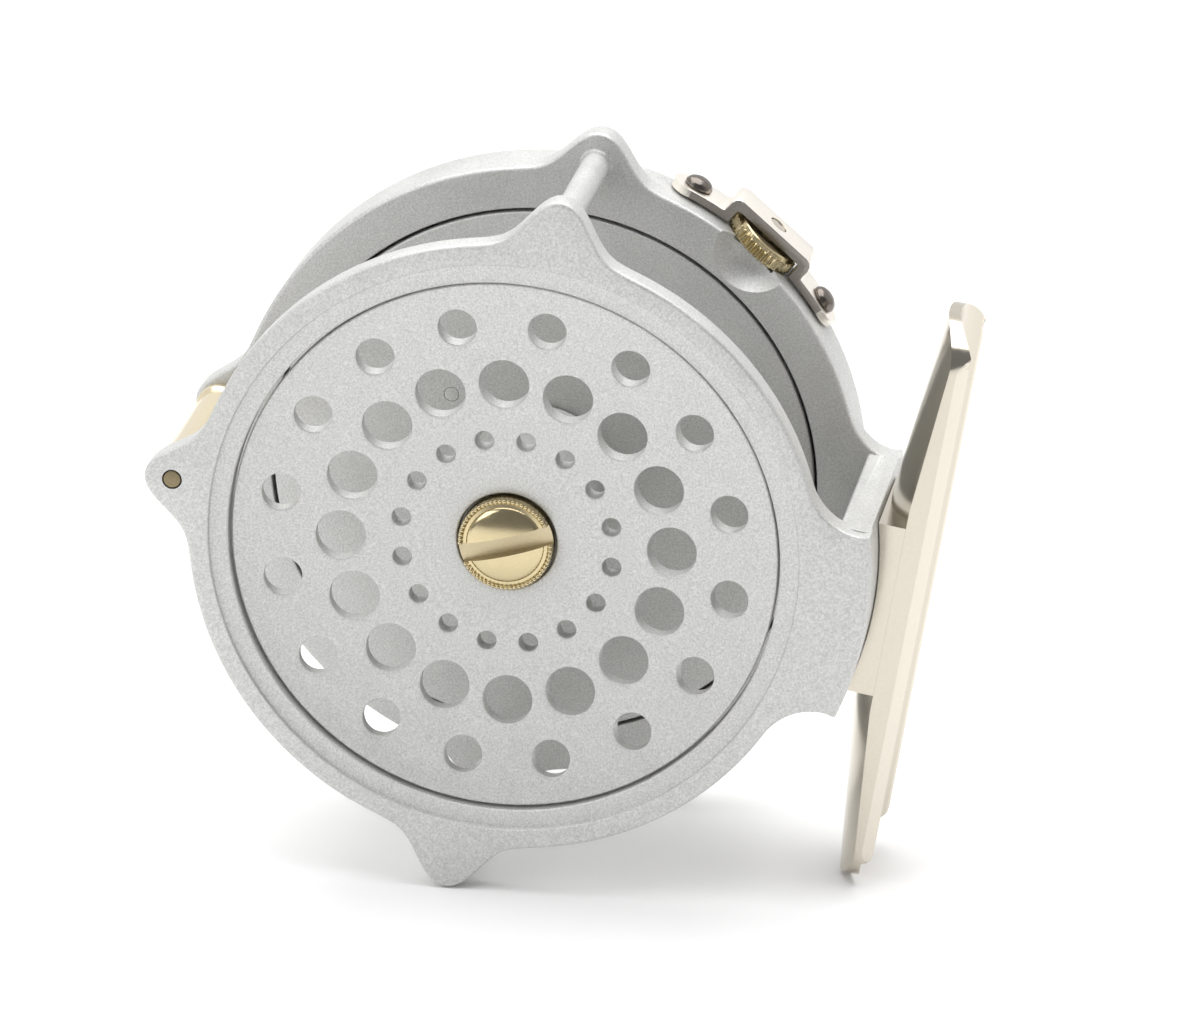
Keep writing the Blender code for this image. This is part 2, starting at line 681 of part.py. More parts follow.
def build_pawl(pawl_mat, post_mat):
    home = pawl_place()
    corners = [
        (TOOTH_ROOT + 0.5, 0.35), (19.0, 2.0), (19.6, 7.4), (20.0, 10.6), (21.6, 11.2), (22.9, 10.4),
        (23.2, 8.6), (PAWL_BACK, 6.4), (PAWL_BACK, -1.6), (20.6, -2.2), (19.0, -1.2),
        (TOOTH_ROOT + 0.5, -0.35),
    ]
    points = [check_point(along, across) - home for along, across in corners]
    outline = [(point.x, point.z) for point in points]
    pawl = prism("click_pawl", outline, WHEEL_Y0, WHEEL_Y1, pawl_mat, home)
    bore = turned("pawl_bore_cutter", rod(PAWL_PIVOT_R + 0.25, 20.0, 40.0), 12, None, home)
    cut(pawl, bore)
    end = WEB_Y - 0.1
    post = [(0.0, 30.2), (1.5, 30.2), (1.5, 30.9), (PAWL_PIVOT_R, 30.9), (PAWL_PIVOT_R, end), (0.0, end)]
    turned("pawl_post", post, 12, post_mat, home)


def build_spring(mat):
    """The compression spring between the pawl's back and the regulator's screw."""
    start = PAWL_BACK + CLEAR + SPRING_WIRE
    end = SPRING_END - SPRING_WIRE
    steps = SPRING_TURNS * 8
    loops = []
    for k in range(steps + 1):
        share = k / steps
        turn = 2.0 * math.pi * SPRING_TURNS * share
        along = start + (end - start) * share
        out = Vector((math.cos(turn), 0.0, math.sin(turn)))
        centre = out * SPRING_R + Vector((0.0, along, 0.0))
        ring = []
        for side in range(5):
            angle = 2.0 * math.pi * side / 5
            offset = out * math.cos(angle) + Vector((0.0, math.sin(angle), 0.0))
            ring.append(centre + offset * SPRING_WIRE)
        loops.append(ring)
    loft("click_spring", loops, mat, False, (0.0, CHECK_Y, 0.0), radial_turn(CHECK_ANGLE))


# ---------------------------------------------------------------- regulator

def knurl_loop(y, radius, depth):
    """A loop with one point on each ridge of the knurling and one in each groove, this much deeper."""
    step = 180.0 / KNURL_COUNT
    return [polar(radius - depth * (k % 2), step * k, y) for k in range(2 * KNURL_COUNT)]


def build_regulator(wheel_mat, screw_mat, strap_mat, bolt_mat):
    centre = (0.0, CHECK_Y, 0.0)
    across = radial_turn(CHECK_ANGLE)
    head = SPRING_END + CLEAR
    neck = SPRING_END + 0.9
    screw = [(0.0, head), (1.3, head), (1.3, neck), (SCREW_R, neck), (SCREW_R, SCREW_END), (0.0, SCREW_END)]
    turned("regulator_screw", screw, 12, screw_mat, centre, across)
    loops = []
    for y, trim in ((KNURL_IN, 0.35), (KNURL_IN + 0.35, 0.0), (KNURL_OUT - 0.35, 0.0), (KNURL_OUT, 0.35)):
        loops.append(knurl_loop(y, KNURL_R - trim, 0.3))
    loops += [knurl_loop(y, SCREW_R + CLEAR, 0.0) for y in (KNURL_OUT, KNURL_IN)]
    loft("regulator_wheel", loops, wheel_mat, True, centre, across)
    build_strap(strap_mat)
    for name, side in (("strap_screw_lower", -1), ("strap_screw_upper", 1)):
        bolt = [
            (0.0, 35.0), (STRAP_SCREW_R, 35.0), (STRAP_SCREW_R, 38.85), (1.62, 38.85), (1.6, 39.2),
            (1.25, 39.85), (0.6, 40.2), (0.0, 40.25),
        ]
        turn = radial_turn(CHECK_ANGLE + side * STRAP_SCREW_ANGLE)
        turned(name, bolt, 16, bolt_mat, centre, turn)


def strap_outline():
    """The strap's edge view: two feet curved to the cup and a square hat over the wheel."""
    inner = CUP_R + CLEAR
    outer = inner + STRAP_T - CLEAR
    half_in = STRAP_WINDOW
    half_out = STRAP_WINDOW + STRAP_T
    join_in = math.degrees(math.asin(half_in / inner))
    join_out = math.degrees(math.asin(half_out / outer))
    side = [polar(outer, STRAP_ARC + (join_out - STRAP_ARC) * k / 3) for k in range(4)]
    top = [Vector((STRAP_TOP + STRAP_T, 0.0, half_out)), Vector((STRAP_TOP + STRAP_T, 0.0, -half_out))]
    mirrored = [Vector((p.x, 0.0, -p.z)) for p in reversed(side)]
    under = [polar(inner, -STRAP_ARC + (STRAP_ARC - join_in) * k / 3) for k in range(4)]
    window = [Vector((STRAP_TOP, 0.0, -half_in)), Vector((STRAP_TOP, 0.0, half_in))]
    back = [Vector((p.x, 0.0, -p.z)) for p in reversed(under)]
    points = side + top + mirrored + under + window + back
    return [(p.x, p.z) for p in points]


def build_strap(mat):
    y0 = CHECK_Y - STRAP_HALF_WIDTH
    y1 = CHECK_Y + STRAP_HALF_WIDTH
    strap = prism("regulator_strap", strap_outline(), y0, y1, mat)
    strap.rotation_euler = (0.0, -math.radians(CHECK_ANGLE), 0.0)
    centre = (0.0, CHECK_Y, 0.0)
    bore = rod(SCREW_R + 0.25, THROUGH_IN, THROUGH_OUT)
    cut(strap, turned("strap_top_cutter", bore, 12, None, centre, radial_turn(CHECK_ANGLE)))
    for number, side in enumerate((-1, 1)):
        turn = radial_turn(CHECK_ANGLE + side * STRAP_SCREW_ANGLE)
        bore = rod(STRAP_SCREW_R + CLEAR, 34.0, THROUGH_OUT)
        cut(strap, turned(f"strap_hole_cutter_{number}", bore, 8, None, centre, turn))


FRAME = None


def main():
    global FRAME
    clear_scene()
    FRAME = reel_frame()
    anodised = material("anodised_aluminium", (0.60, 0.60, 0.58), 0.45)
    drum_metal = material("drum_aluminium", (0.62, 0.62, 0.60), 0.45)
    plate_metal = material("plate_aluminium", (0.62, 0.62, 0.61), 0.4)
    silver = material("nickel_silver", (0.78, 0.72, 0.60), 0.2)
    brass = material("brass", (0.80, 0.62, 0.30), 0.2)
    bronze = material("pin_bronze", (0.40, 0.27, 0.14), 0.35)
    blued = material("blued_steel", (0.06, 0.06, 0.09), 0.25)
    steel = material("steel", (0.55, 0.56, 0.58), 0.25)
    spring_steel = material("spring_steel", (0.35, 0.36, 0.38), 0.3)
    horn = material("ivory_resin", (0.85, 0.80, 0.68), 0.3, 0.0)
    build_cage(anodised)
    build_foot(silver)
    build_foot_screws(silver)
    build_roller(bronze, silver)
    build_drum(drum_metal)
    build_rear_flange(drum_metal)
    build_lock_screw(brass)
    build_spindle(steel)
    build_winding_plate(plate_metal)
    build_spindle_nut(brass)
    build_drive(steel, steel)
    build_bearing(steel, steel, spring_steel)
    build_handle(steel, horn, silver, silver)
    build_check_wheel(brass)
    build_rivets(steel)
    build_pawl(steel, steel)
    build_spring(spring_steel)
    build_regulator(brass, steel, silver, blued)


main()
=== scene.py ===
import json
import math

import bmesh
import bpy
from mathutils import Matrix, Vector


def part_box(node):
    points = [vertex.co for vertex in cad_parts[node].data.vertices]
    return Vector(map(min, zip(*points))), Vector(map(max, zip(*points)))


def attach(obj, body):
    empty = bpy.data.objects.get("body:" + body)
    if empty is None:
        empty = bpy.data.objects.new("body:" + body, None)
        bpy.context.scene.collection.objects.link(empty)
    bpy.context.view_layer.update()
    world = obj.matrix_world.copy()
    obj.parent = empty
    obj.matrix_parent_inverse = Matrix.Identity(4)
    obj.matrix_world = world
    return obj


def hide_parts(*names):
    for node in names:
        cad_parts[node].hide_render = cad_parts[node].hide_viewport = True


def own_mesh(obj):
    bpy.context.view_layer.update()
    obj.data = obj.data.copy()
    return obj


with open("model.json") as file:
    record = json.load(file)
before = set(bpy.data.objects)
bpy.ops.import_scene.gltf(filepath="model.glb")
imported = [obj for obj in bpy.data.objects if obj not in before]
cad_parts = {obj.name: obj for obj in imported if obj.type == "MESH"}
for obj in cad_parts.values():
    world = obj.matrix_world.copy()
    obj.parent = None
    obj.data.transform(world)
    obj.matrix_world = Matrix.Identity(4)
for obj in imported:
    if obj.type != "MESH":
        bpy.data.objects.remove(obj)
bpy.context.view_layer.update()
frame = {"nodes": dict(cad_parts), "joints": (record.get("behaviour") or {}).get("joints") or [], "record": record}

# Lengths are in millimetres in the reel's own frame: the foot points along +X, the drum's axis is the
# Y axis, y = 0 is the front ring's face, and angles run from +X towards +Z. A profile is a list of
# (radius, y) points, and a third number is the point's own corner radius.
MM = 0.001
SPIN = next(joint for joint in frame["joints"] if joint["name"] == "drum_spin")
FOOT_AXIS = Vector(frame["record"]["mounts"][0]["axis"])
LEAN = math.atan2(-FOOT_AXIS.z, FOOT_AXIS.x)
ORIGIN = Vector((SPIN["pos_m"][0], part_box("cage")[0].y, SPIN["pos_m"][2]))
PLACE = Matrix.Translation(ORIGIN) @ Matrix.Rotation(LEAN, 4, "Y") @ Matrix.Scale(MM, 4)

RING_R = 36.4
RING_T = 3.3
RING_BORE = 31.8
RING_STEP_R = 34.0
RING_STEP = 0.5
EDGE = 0.5
CUP_R = 37.3
REAR_Y = 26.7
PLATE_T = 3.6
CUP_END = 36.0
CUP_BORE = 32.4
CUP_ROUND = 2.3
WEB_Y = 33.4
WEB_BACK = 34.6
RECESS_R = 32.3
BOSS_R = 9.8
BOSS_END = 36.8
RACE_BORE = 8.1
LIP_R = 6.9
LOBE_TIPS = {90.0: 42.3, 180.0: 41.9, 270.0: 42.3}
LOBE_WIDTH = 4.1
PAD_R = 42.2
PAD_HALF_ANGLE = 15.3
PAD_FILLET = 5.9
PILLAR_R = 38.6
PILLAR_RADIUS = 1.6
BLOCK_HALF = 11.1
BLOCK_INNER = 37.0
DRUM_TURN = -1.3
DRUM_R = 31.5
ARBOR_R = 7.6
BORE_R = 3.3
REAR_FLANGE_R = 32.0
NUT_SEAT_R = 5.8
BEAD_CIRCLE = 5.22
HOLE_LIP = 0.14
HOLE_RINGS = ((26.3, 2.2, 0.0), (19.1, 2.87, 11.25), (12.34, 1.1, 0.0))
HOLES_PER_RING = 16
FACE_PROFILE = ((NUT_SEAT_R, 3.45), (14.8, 3.15), (23.1, 2.55), (29.4, 1.7), (31.35, 1.25))
SCREW_TURN = 15.0
SCREW_HEAD_R = 5.5
COIN_SLOT_HALF = 1.1
COIN_SLOT_FLOOR = 3.1
BEADS = 64
BEAD_Y = 2.3
PLATE_END = 36.2
HANDLE_BORE = 1.8
HANDLE_R = 25.5
HANDLE_ANGLE = 273.0
CHECK_ANGLE = 57.9
CHECK_Y = 32.0
PIN_R = 1.0
PIN_BORE = 1.15
ROLLER_R = 2.4
ROLLER_END_R = 2.8
ROLLER_BORE = 1.45
RIVET_SHANK_R = 0.86
RIVET_BORE = 0.9
RIVET_R = 14.1
RIVET_ANGLES = (30.3, 150.3, 270.3)
SPRING_R = 0.95
SPRING_WIRE = 0.2
SPRING_IN = 22.7
SPRING_OUT = 27.85
KNURL_R = 4.6
KNURL_COUNT = 36
KNURL_IN = 36.9
KNURL_OUT = 39.0
STRAP_HALF_WIDTH = 2.5
STRAP_T = 1.25
STRAP_ARC = 19.1
STRAP_TOP = 39.2
STRAP_WINDOW = 4.7
STRAP_SCREW_ANGLE = 14.7
STRAP_BORE = 1.1
STRAP_TOP_BORE = 1.15
STRAP_END = 3.75
SCREW_BORE = 1.2
SCALLOP_R = 5.5
SCALLOP_CENTRE = (37.6, CHECK_ANGLE + 0.4, REAR_Y - 2.9)
CHECK_TEETH = 24
FOOT_Y = 15.0
FOOT_HALF = 7.9
FOOT_LENGTH = 69.4
HORN_X = 47.6
TONGUE_X = 46.35
TONGUE_START = 30.5
TONGUE_SLOPE = 1.1
TIP_TAPER = 5.2
TIP_HALF = 1.2
FOOT_BEVEL = 1.3
FOOT_LEVEL = 12.5
FOOT_VERTEX = 41.4
FOOT_VERTEX_RISE = 2.3
FOOT_EDGE = 44.1
FOOT_EDGE_RISE = 1.8
SADDLE_GAP = 0.05
TROUGH_R = 11.5
TROUGH_HALF = 7.3
SADDLE_HALF = 10.4
FOOT_SCREW_Z = 6.4
CLEAR = 0.3
OUTSIDE = 45.0
FINE = 192

CAMERA_AZIMUTH = 9.53
CAMERA_ELEVATION = 19.99
CAMERA_OFFSET = (0.1341, -0.73123, 0.2755)
CAMERA_LENS = 210.0
LIGHT_TARGET = (0.0, 0.0, 0.04)


# ---------------------------------------------------------------- materials

def node(tree, kind, **settings):
    made = tree.nodes.new(kind)
    for key, value in settings.items():
        made.inputs[key.replace("_", " ")].default_value = value
    return made


def metal(name, colour, roughness, grain_mm, grain, mottle=0.06, streak=None, metallic=1.0):
    """A metal with fine grain in its bump, soft mottling in its colour and uneven roughness."""
    mat = bpy.data.materials.new(name)
    mat.use_nodes = True
    tree = mat.node_tree
    shader = tree.nodes["Principled BSDF"]
    shader.inputs["Metallic"].default_value = metallic
    place = tree.nodes.new("ShaderNodeTexCoord")
    mapping = tree.nodes.new("ShaderNodeMapping")
    if streak is not None:
        mapping.inputs["Rotation"].default_value = (0.0, -LEAN, 0.0)
        mapping.inputs["Scale"].default_value = streak
    tree.links.new(place.outputs["Object"], mapping.inputs["Vector"])
    fine = node(tree, "ShaderNodeTexNoise", Scale=1.0 / (grain_mm * MM), Detail=4.0, Roughness=0.6)
    tree.links.new(mapping.outputs["Vector"], fine.inputs["Vector"])
    broad = node(tree, "ShaderNodeTexNoise", Scale=1.0 / (6.0 * MM), Detail=5.0, Roughness=0.65)
    tree.links.new(place.outputs["Object"], broad.inputs["Vector"])
    blend = tree.nodes.new("ShaderNodeMix")
    blend.data_type = "FLOAT"
    blend.inputs[0].default_value = 0.2
    tree.links.new(fine.outputs["Fac"], blend.inputs[2])
    tree.links.new(broad.outputs["Fac"], blend.inputs[3])
    ramp = tree.nodes.new("ShaderNodeValToRGB")
    ramp.color_ramp.elements[0].position = 0.3
    ramp.color_ramp.elements[1].position = 0.7
    ramp.color_ramp.elements[0].color = (*[c * (1.0 - mottle) for c in colour], 1.0)
    ramp.color_ramp.elements[1].color = (*[min(1.0, c * (1.0 + mottle)) for c in colour], 1.0)
    tree.links.new(blend.outputs[0], ramp.inputs["Fac"])
    tree.links.new(ramp.outputs["Color"], shader.inputs["Base Color"])
    spread = tree.nodes.new("ShaderNodeMapRange")
    spread.inputs["From Min"].default_value = 0.3
    spread.inputs["From Max"].default_value = 0.7
    spread.inputs["To Min"].default_value = roughness * 0.85
    spread.inputs["To Max"].default_value = roughness * 1.15
    tree.links.new(broad.outputs["Fac"], spread.inputs["Value"])
    tree.links.new(spread.outputs["Result"], shader.inputs["Roughness"])
    bump = node(tree, "ShaderNodeBump", Strength=grain, Distance=0.04 * MM)
    tree.links.new(fine.outputs["Fac"], bump.inputs["Height"])
    tree.links.new(bump.outputs["Normal"], shader.inputs["Normal"])
    return mat


def resin(name, colour):
    """Ivory-coloured resin: glossy, with faint lengthwise clouds and a little light under the skin."""
    mat = metal(name, colour, 0.22, 0.5, 0.03, 0.1, (1.0, 0.25, 1.0), 0.0)
    shader = mat.node_tree.nodes["Principled BSDF"]
    shader.inputs["Subsurface Weight"].default_value = 0.15
    shader.inputs["Subsurface Radius"].default_value = (0.002, 0.0015, 0.001)
    shader.inputs["Coat Weight"].default_value = 0.4
    return mat


MATERIALS = {
    "anodised_aluminium": metal("blasted_cage", (0.585, 0.585, 0.57), 0.52, 0.22, 0.6, 0.26, None, 0.6),
    "drum_aluminium": metal("blasted_drum", (0.585, 0.585, 0.57), 0.52, 0.22, 0.65, 0.26, None, 0.6),
    "plate_aluminium": metal("turned_plate", (0.67, 0.67, 0.66), 0.4, 0.2, 0.3, 0.06, None, 0.75),
    "nickel_silver": metal("nickel_silver", (0.565, 0.52, 0.44), 0.18, 0.3, 0.05, 0.04),
    "brass": metal("polished_brass", (0.575, 0.485, 0.295), 0.18, 0.25, 0.06, 0.06),
    "dull_brass": metal("dull_brass", (0.55, 0.47, 0.31), 0.42, 0.2, 0.4, 0.08),
    "pale_gold": metal("pale_gold", (0.80, 0.70, 0.50), 0.24, 0.25, 0.08, 0.05),
    # The strap's two nickels below are one nickel in a lit and a shaded copy, laid on faces by their direction:
    # painted highlight and painted shade.
    "painted_lit_nickel": metal("painted_lit_nickel", (0.93, 0.88, 0.80), 0.3, 0.3, 0.05, 0.03),
    # A lighter copy of the foot's nickel, laid on its front faces: painted reflection.
    "painted_sheen_nickel": metal("painted_sheen_nickel", (0.66, 0.61, 0.53), 0.24, 0.3, 0.05, 0.04),
    "painted_shade_nickel": metal("painted_shade_nickel", (0.36, 0.33, 0.30), 0.35, 0.3, 0.2, 0.12),
    "pin_bronze": metal("pin_bronze", (0.22, 0.18, 0.11), 0.35, 0.12, 0.3, 0.2),
    "blued_steel": metal("blued_steel", (0.17, 0.15, 0.135), 0.2, 0.2, 0.1, 0.2),
    "steel": metal("ground_steel", (0.56, 0.57, 0.59), 0.25, 0.15, 0.12, 0.06),
    "spring_steel": metal("spring_steel", (0.36, 0.37, 0.39), 0.3, 0.1, 0.15, 0.08),
    "ivory_resin": resin("ivory_resin", (0.82, 0.76, 0.62)),
}


# ---------------------------------------------------------------- mesh helpers

def polar(radius, angle, y=0.0):
    turn = math.radians(angle)
    return Vector((radius * math.cos(turn), y, radius * math.sin(turn)))


def at(point):
    return Matrix.Translation(Vector(point))


def radial(angle):
    """Lays a piece turned about Y along the radius at this angle, in the check's plane."""
    lay = Matrix.Rotation(-math.radians(angle), 4, "Y") @ Matrix.Rotation(-math.pi / 2, 4, "Z")
    return at((0.0, CHECK_Y, 0.0)) @ lay


def turned_by(angle):
    return Matrix.Rotation(-math.radians(angle), 4, "Y")


def make(name, bm, slot, local=None, sharp=32.0):
    """Close the bmesh off as an object whose vertices are in the CAD's frame, in metres."""
    bmesh.ops.recalc_face_normals(bm, faces=bm.faces)
    matrix = PLACE if local is None else PLACE @ local
    bmesh.ops.transform(bm, matrix=matrix, verts=bm.verts)
    mesh = bpy.data.meshes.new(name)
    bm.to_mesh(mesh)
    bm.free()
    if slot is not None:
        mesh.materials.append(MATERIALS[slot])
    obj = bpy.data.objects.new(name, mesh)
    bpy.context.scene.collection.objects.link(obj)
    smooth(obj, sharp)
    return obj


def smooth(obj, sharp=32.0):
    obj.data.shade_smooth()
    obj.data.set_sharp_from_angle(angle=math.radians(sharp))


def rounded(points, radius, steps=3):
    """Round the corners of a closed outline; a point may carry its own radius as a third number."""
    result = []
    count = len(points)
    for k, point in enumerate(points):
        here = Vector(point[:2])
        size = point[2] if len(point) > 2 else radius
        back = Vector(points[k - 1][:2]) - here
        ahead = Vector(points[(k + 1) % count][:2]) - here
        half = back.angle(ahead) / 2
        if size == 0.0 or half > math.radians(86.0):
            result.append(tuple(here))
            continue
        reach = min(size / math.tan(half), 0.45 * back.length, 0.45 * ahead.length)
        size = reach * math.tan(half)
        middle = here + (back.normalized() + ahead.normalized()).normalized() * (size / math.sin(half))
        start = here + back.normalized() * reach - middle
        stop = here + ahead.normalized() * reach - middle
        first = math.atan2(start.y, start.x)
        sweep = (math.atan2(stop.y, stop.x) - first + math.pi) % (2 * math.pi) - math.pi
        for step in range(steps + 1):
            angle = first + sweep * step / steps
            result.append((middle.x + size * math.cos(angle), middle.y + size * math.sin(angle)))
    return result


def rod(radius, start, end):
    """The profile of a plain round bar."""
    return [(0.0, start), (radius, start), (radius, end), (0.0, end)]


def strip(x0, x1, half):
    """The outline of a rectangle, this much either side of the middle."""
    return [(x0, -half), (x1, -half), (x1, half), (x0, half)]


def skin(bm, rings, closed):
    """Join rings of vertices; a ring of one vertex closes to a point."""
    pairs = list(zip(rings, rings[1:]))
    if closed:
        pairs.append((rings[-1], rings[0]))
    for first, second in pairs:
        count = max(len(first), len(second))
        if count == 1:
            continue
        for k in range(count):
            after = (k + 1) % count
            corners = [first[k % len(first)], first[after % len(first)]]
            corners += [second[after % len(second)], second[k % len(second)]]
            bm.faces.new(list(dict.fromkeys(corners)))


def revolve(name, rows, slot, angles=None, local=None, sharp=32.0):
    """Turn a closed profile about Y. A row is a (radius, y) pair or a function of the angle giving one."""
    if angles is None:
        angles = [360.0 * k / FINE for k in range(FINE)]
    bm = bmesh.new()
    rings = []
    for row in rows:
        if not callable(row) and abs(row[0]) < 1e-6:
            rings.append([bm.verts.new((0.0, row[1], 0.0))])
            continue
        pairs = [row(angle) if callable(row) else row for angle in angles]
        rings.append([bm.verts.new(polar(pair[0], angle, pair[1])) for pair, angle in zip(pairs, angles)])
    skin(bm, rings, True)
    return make(name, bm, slot, local, sharp)


def lathe(name, profile, slot, local=None, edge=0.12, segments=FINE, sharp=32.0):
    """Turn a closed (radius, y) profile with softened edges; points on the axis stay as they are."""
    profile = [(*point[:2], 0.0) if point[0] == 0.0 else point for point in profile]
    rows = [(max(0.0, r), y) for r, y in rounded(profile, edge)]
    angles = [360.0 * k / segments for k in range(segments)]
    return revolve(name, rows, slot, angles, local, sharp)


def prism(name, outline, y0, y1, slot, local=None, edge=0.0):
    """Extrude an (x, z) outline along Y; edge softens its two rims."""
    bm = bmesh.new()
    area = sum(a[0] * b[1] - b[0] * a[1] for a, b in zip(outline, outline[1:] + outline[:1]))
    side = 1.0 if area > 0 else -1.0
    levels = [(y0, 0.0), (y1, 0.0)]
    if edge > 0.0:
        steps = [(edge * (1 - math.cos(t)), edge * (1 - math.sin(t))) for t in (0.0, 0.52, 1.05, 1.57)]
        levels = [(y0 + rise, inset) for rise, inset in steps]
        levels += [(y1 - rise, inset) for rise, inset in reversed(steps)]
    rings = []
    for y, inset in levels:
        ring = []
        for k, point in enumerate(outline):
            back = Vector(outline[k - 1])
            ahead = Vector(outline[(k + 1) % len(outline)])
            here = Vector(point)
            run_in = (here - back).normalized()
            run_out = (ahead - here).normalized()
            normal = (run_in + run_out).normalized()
            normal = Vector((-normal.y, normal.x)) * side
            spot = here + normal * inset
            ring.append(bm.verts.new((spot.x, y, spot.y)))
        rings.append(ring)
    skin(bm, rings, False)
    bm.faces.new(rings[0])
    bm.faces.new(rings[-1])
    return make(name, bm, slot, local)


def boolean(piece, tool, operation):
    """Apply one Boolean and throw its tool away."""
    modifier = piece.modifiers.new("boolean", "BOOLEAN")
    modifier.operation = operation
    modifier.solver = "EXACT"
    modifier.material_mode = "TRANSFER"
    modifier.object = tool
    graph = bpy.context.evaluated_depsgraph_get()
    mesh = bpy.data.meshes.new_from_object(piece.evaluated_get(graph))
    piece.modifiers.clear()
    old = piece.data
    piece.data = mesh
    bpy.data.meshes.remove(old)
    bpy.data.objects.remove(tool, do_unlink=True)
    smooth(piece)
    return piece


def cut(piece, tool):
    return boolean(piece, tool, "DIFFERENCE")


def unite(piece, tool):
    return boolean(piece, tool, "UNION")


def seat(piece, body, slot, *nodes):
    """Hang a finished piece on its CAD body in place of its CAD nodes."""
    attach(piece, body)
    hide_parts(*nodes)
    return piece


# ---------------------------------------------------------------- cage

def outline_radius(angle, base):
    """Bell-shaped lobes on a circle, and a pad with quarter-round shoulders."""
    radius = base
    for lobe, tip in LOBE_TIPS.items():
        across = math.radians(angle - lobe) * base
        radius += (tip - base) * math.exp(-abs(across / LOBE_WIDTH) ** 2.2)
    from_pad = abs((angle + 180.0) % 360.0 - 180.0) - PAD_HALF_ANGLE
    if from_pad <= 0.001:
        return PAD_R
    across = math.radians(from_pad) * base
    if across < PAD_FILLET:
        rise = PAD_FILLET - math.sqrt(PAD_FILLET ** 2 - (PAD_FILLET - across) ** 2)
        radius += rise * (PAD_R - base) / PAD_FILLET
    return radius


def outline_row(base, inset, y, least=0.0):
    return lambda angle: (max(least, outline_radius(angle, base) - inset), y)


def cage_angles():
    angles = {0.75 * k for k in range(480)}
    for side in (-1, 1):
        angles.add((side * PAD_HALF_ANGLE) % 360.0)
        angles.update((side * (PAD_HALF_ANGLE + step)) % 360.0 for step in (0.08, 0.2, 0.4))
    return sorted(angles)


def edge_rows(base, y0, y1, edge, steps=5, least=0.0):
    """Rows round the rim of a lobed plate, both edges rounded; the back one never goes under least."""
    turns = [math.pi / 2 * k / steps for k in range(steps + 1)]
    front = [outline_row(base, edge * (1 - math.sin(t)), y0 + edge * (1 - math.cos(t)))
             for t in turns]
    back = [outline_row(base, edge * (1 - math.sin(t)), y1 - edge * (1 - math.cos(t)), least)
            for t in reversed(turns)]
    return front + back


def front_ring():
    """The front ring, with the shallow step its face has round the drum."""
    step = [
        (RING_BORE + 0.15, RING_T), (RING_BORE, RING_T - 0.15), (RING_BORE, RING_STEP + 0.15),
        (RING_BORE + 0.15, RING_STEP), (RING_STEP_R - 0.25, RING_STEP),
        (RING_STEP_R - 0.08, RING_STEP - 0.08), (RING_STEP_R, RING_STEP - 0.25),
        (RING_STEP_R, 0.1), (RING_STEP_R + 0.1, 0.0),
    ]
    return revolve("front_ring", step + edge_rows(RING_R, 0.0, RING_T, EDGE), None, cage_angles())


def rear_housing():
    """The rear plate and its cup, with the boss that holds the bearing."""
    back = CUP_END - CUP_ROUND
    turns = [math.pi / 2 * k / 6 for k in range(7)]
    shoulder = [(CUP_R - CUP_ROUND * (1 - math.cos(t)), back + CUP_ROUND * math.sin(t)) for t in turns]
    rows = [(CUP_BORE + 0.12, REAR_Y)]
    rows += edge_rows(CUP_R, REAR_Y, REAR_Y + PLATE_T, EDGE, 5, CUP_R)
    rows += [(CUP_R, REAR_Y + PLATE_T + 0.1)]
    rows += shoulder
    rows += [
        (RECESS_R + 0.15, CUP_END), (RECESS_R, CUP_END - 0.15), (RECESS_R, WEB_BACK),
        (BOSS_R + 0.4, WEB_BACK),
        (BOSS_R, WEB_BACK + 0.4), (BOSS_R, BOSS_END - 0.15), (BOSS_R - 0.15, BOSS_END),
        (RACE_BORE + 0.1, BOSS_END), (RACE_BORE, BOSS_END - 0.1), (RACE_BORE, WEB_BACK - 0.2),
        (LIP_R, WEB_BACK - 0.2), (LIP_R, WEB_Y), (CUP_BORE - 1.0, WEB_Y), (CUP_BORE - 0.3, WEB_Y - 0.3),
        (CUP_BORE, WEB_Y - 1.0), (CUP_BORE, REAR_Y + 0.12),
    ]
    return revolve("cage_body", rows, "anodised_aluminium", cage_angles())


def pillar(angle):
    """A round pillar that flares where it meets the ring and the plate."""
    near = RING_T
    far = REAR_Y
    flare = 0.45
    profile = [(0.0, near / 2), (PILLAR_RADIUS + flare, near / 2), (PILLAR_RADIUS + flare, near - 0.02)]
    profile += [(PILLAR_RADIUS + flare * (1 - math.sin(t)), near + flare * (1 - math.cos(t)))
                for t in (0.4, 0.8, 1.2, 1.57)]
    profile += [(PILLAR_RADIUS + flare * (1 - math.sin(t)), far - flare * (1 - math.cos(t)))
                for t in (1.57, 1.2, 0.8, 0.4)]
    profile += [(PILLAR_RADIUS + flare, far + 0.02), (PILLAR_RADIUS + flare, far + 1.8), (0.0, far + 1.8)]
    return lathe(f"pillar_{int(angle)}", profile, None, at(polar(PILLAR_R, angle)), 0.0, 48)


def foot_block():
    """The block that ties the ring to the plate under the foot."""
    half = math.degrees(math.asin(BLOCK_HALF / PAD_R))
    arc = [polar(PAD_R - 0.08, half * k / 12) for k in range(-12, 13)]
    corners = [(BLOCK_INNER, -BLOCK_HALF)] + [(p.x, p.z) for p in arc] + [(BLOCK_INNER, BLOCK_HALF)]
    outline = rounded([(*corner, 0.35) if k in (0, 1, 25, 26) else (*corner, 0.0)
                       for k, corner in enumerate(corners)], 0.0)
    return prism("foot_block", outline, RING_T / 2, REAR_Y + PLATE_T / 2, None)


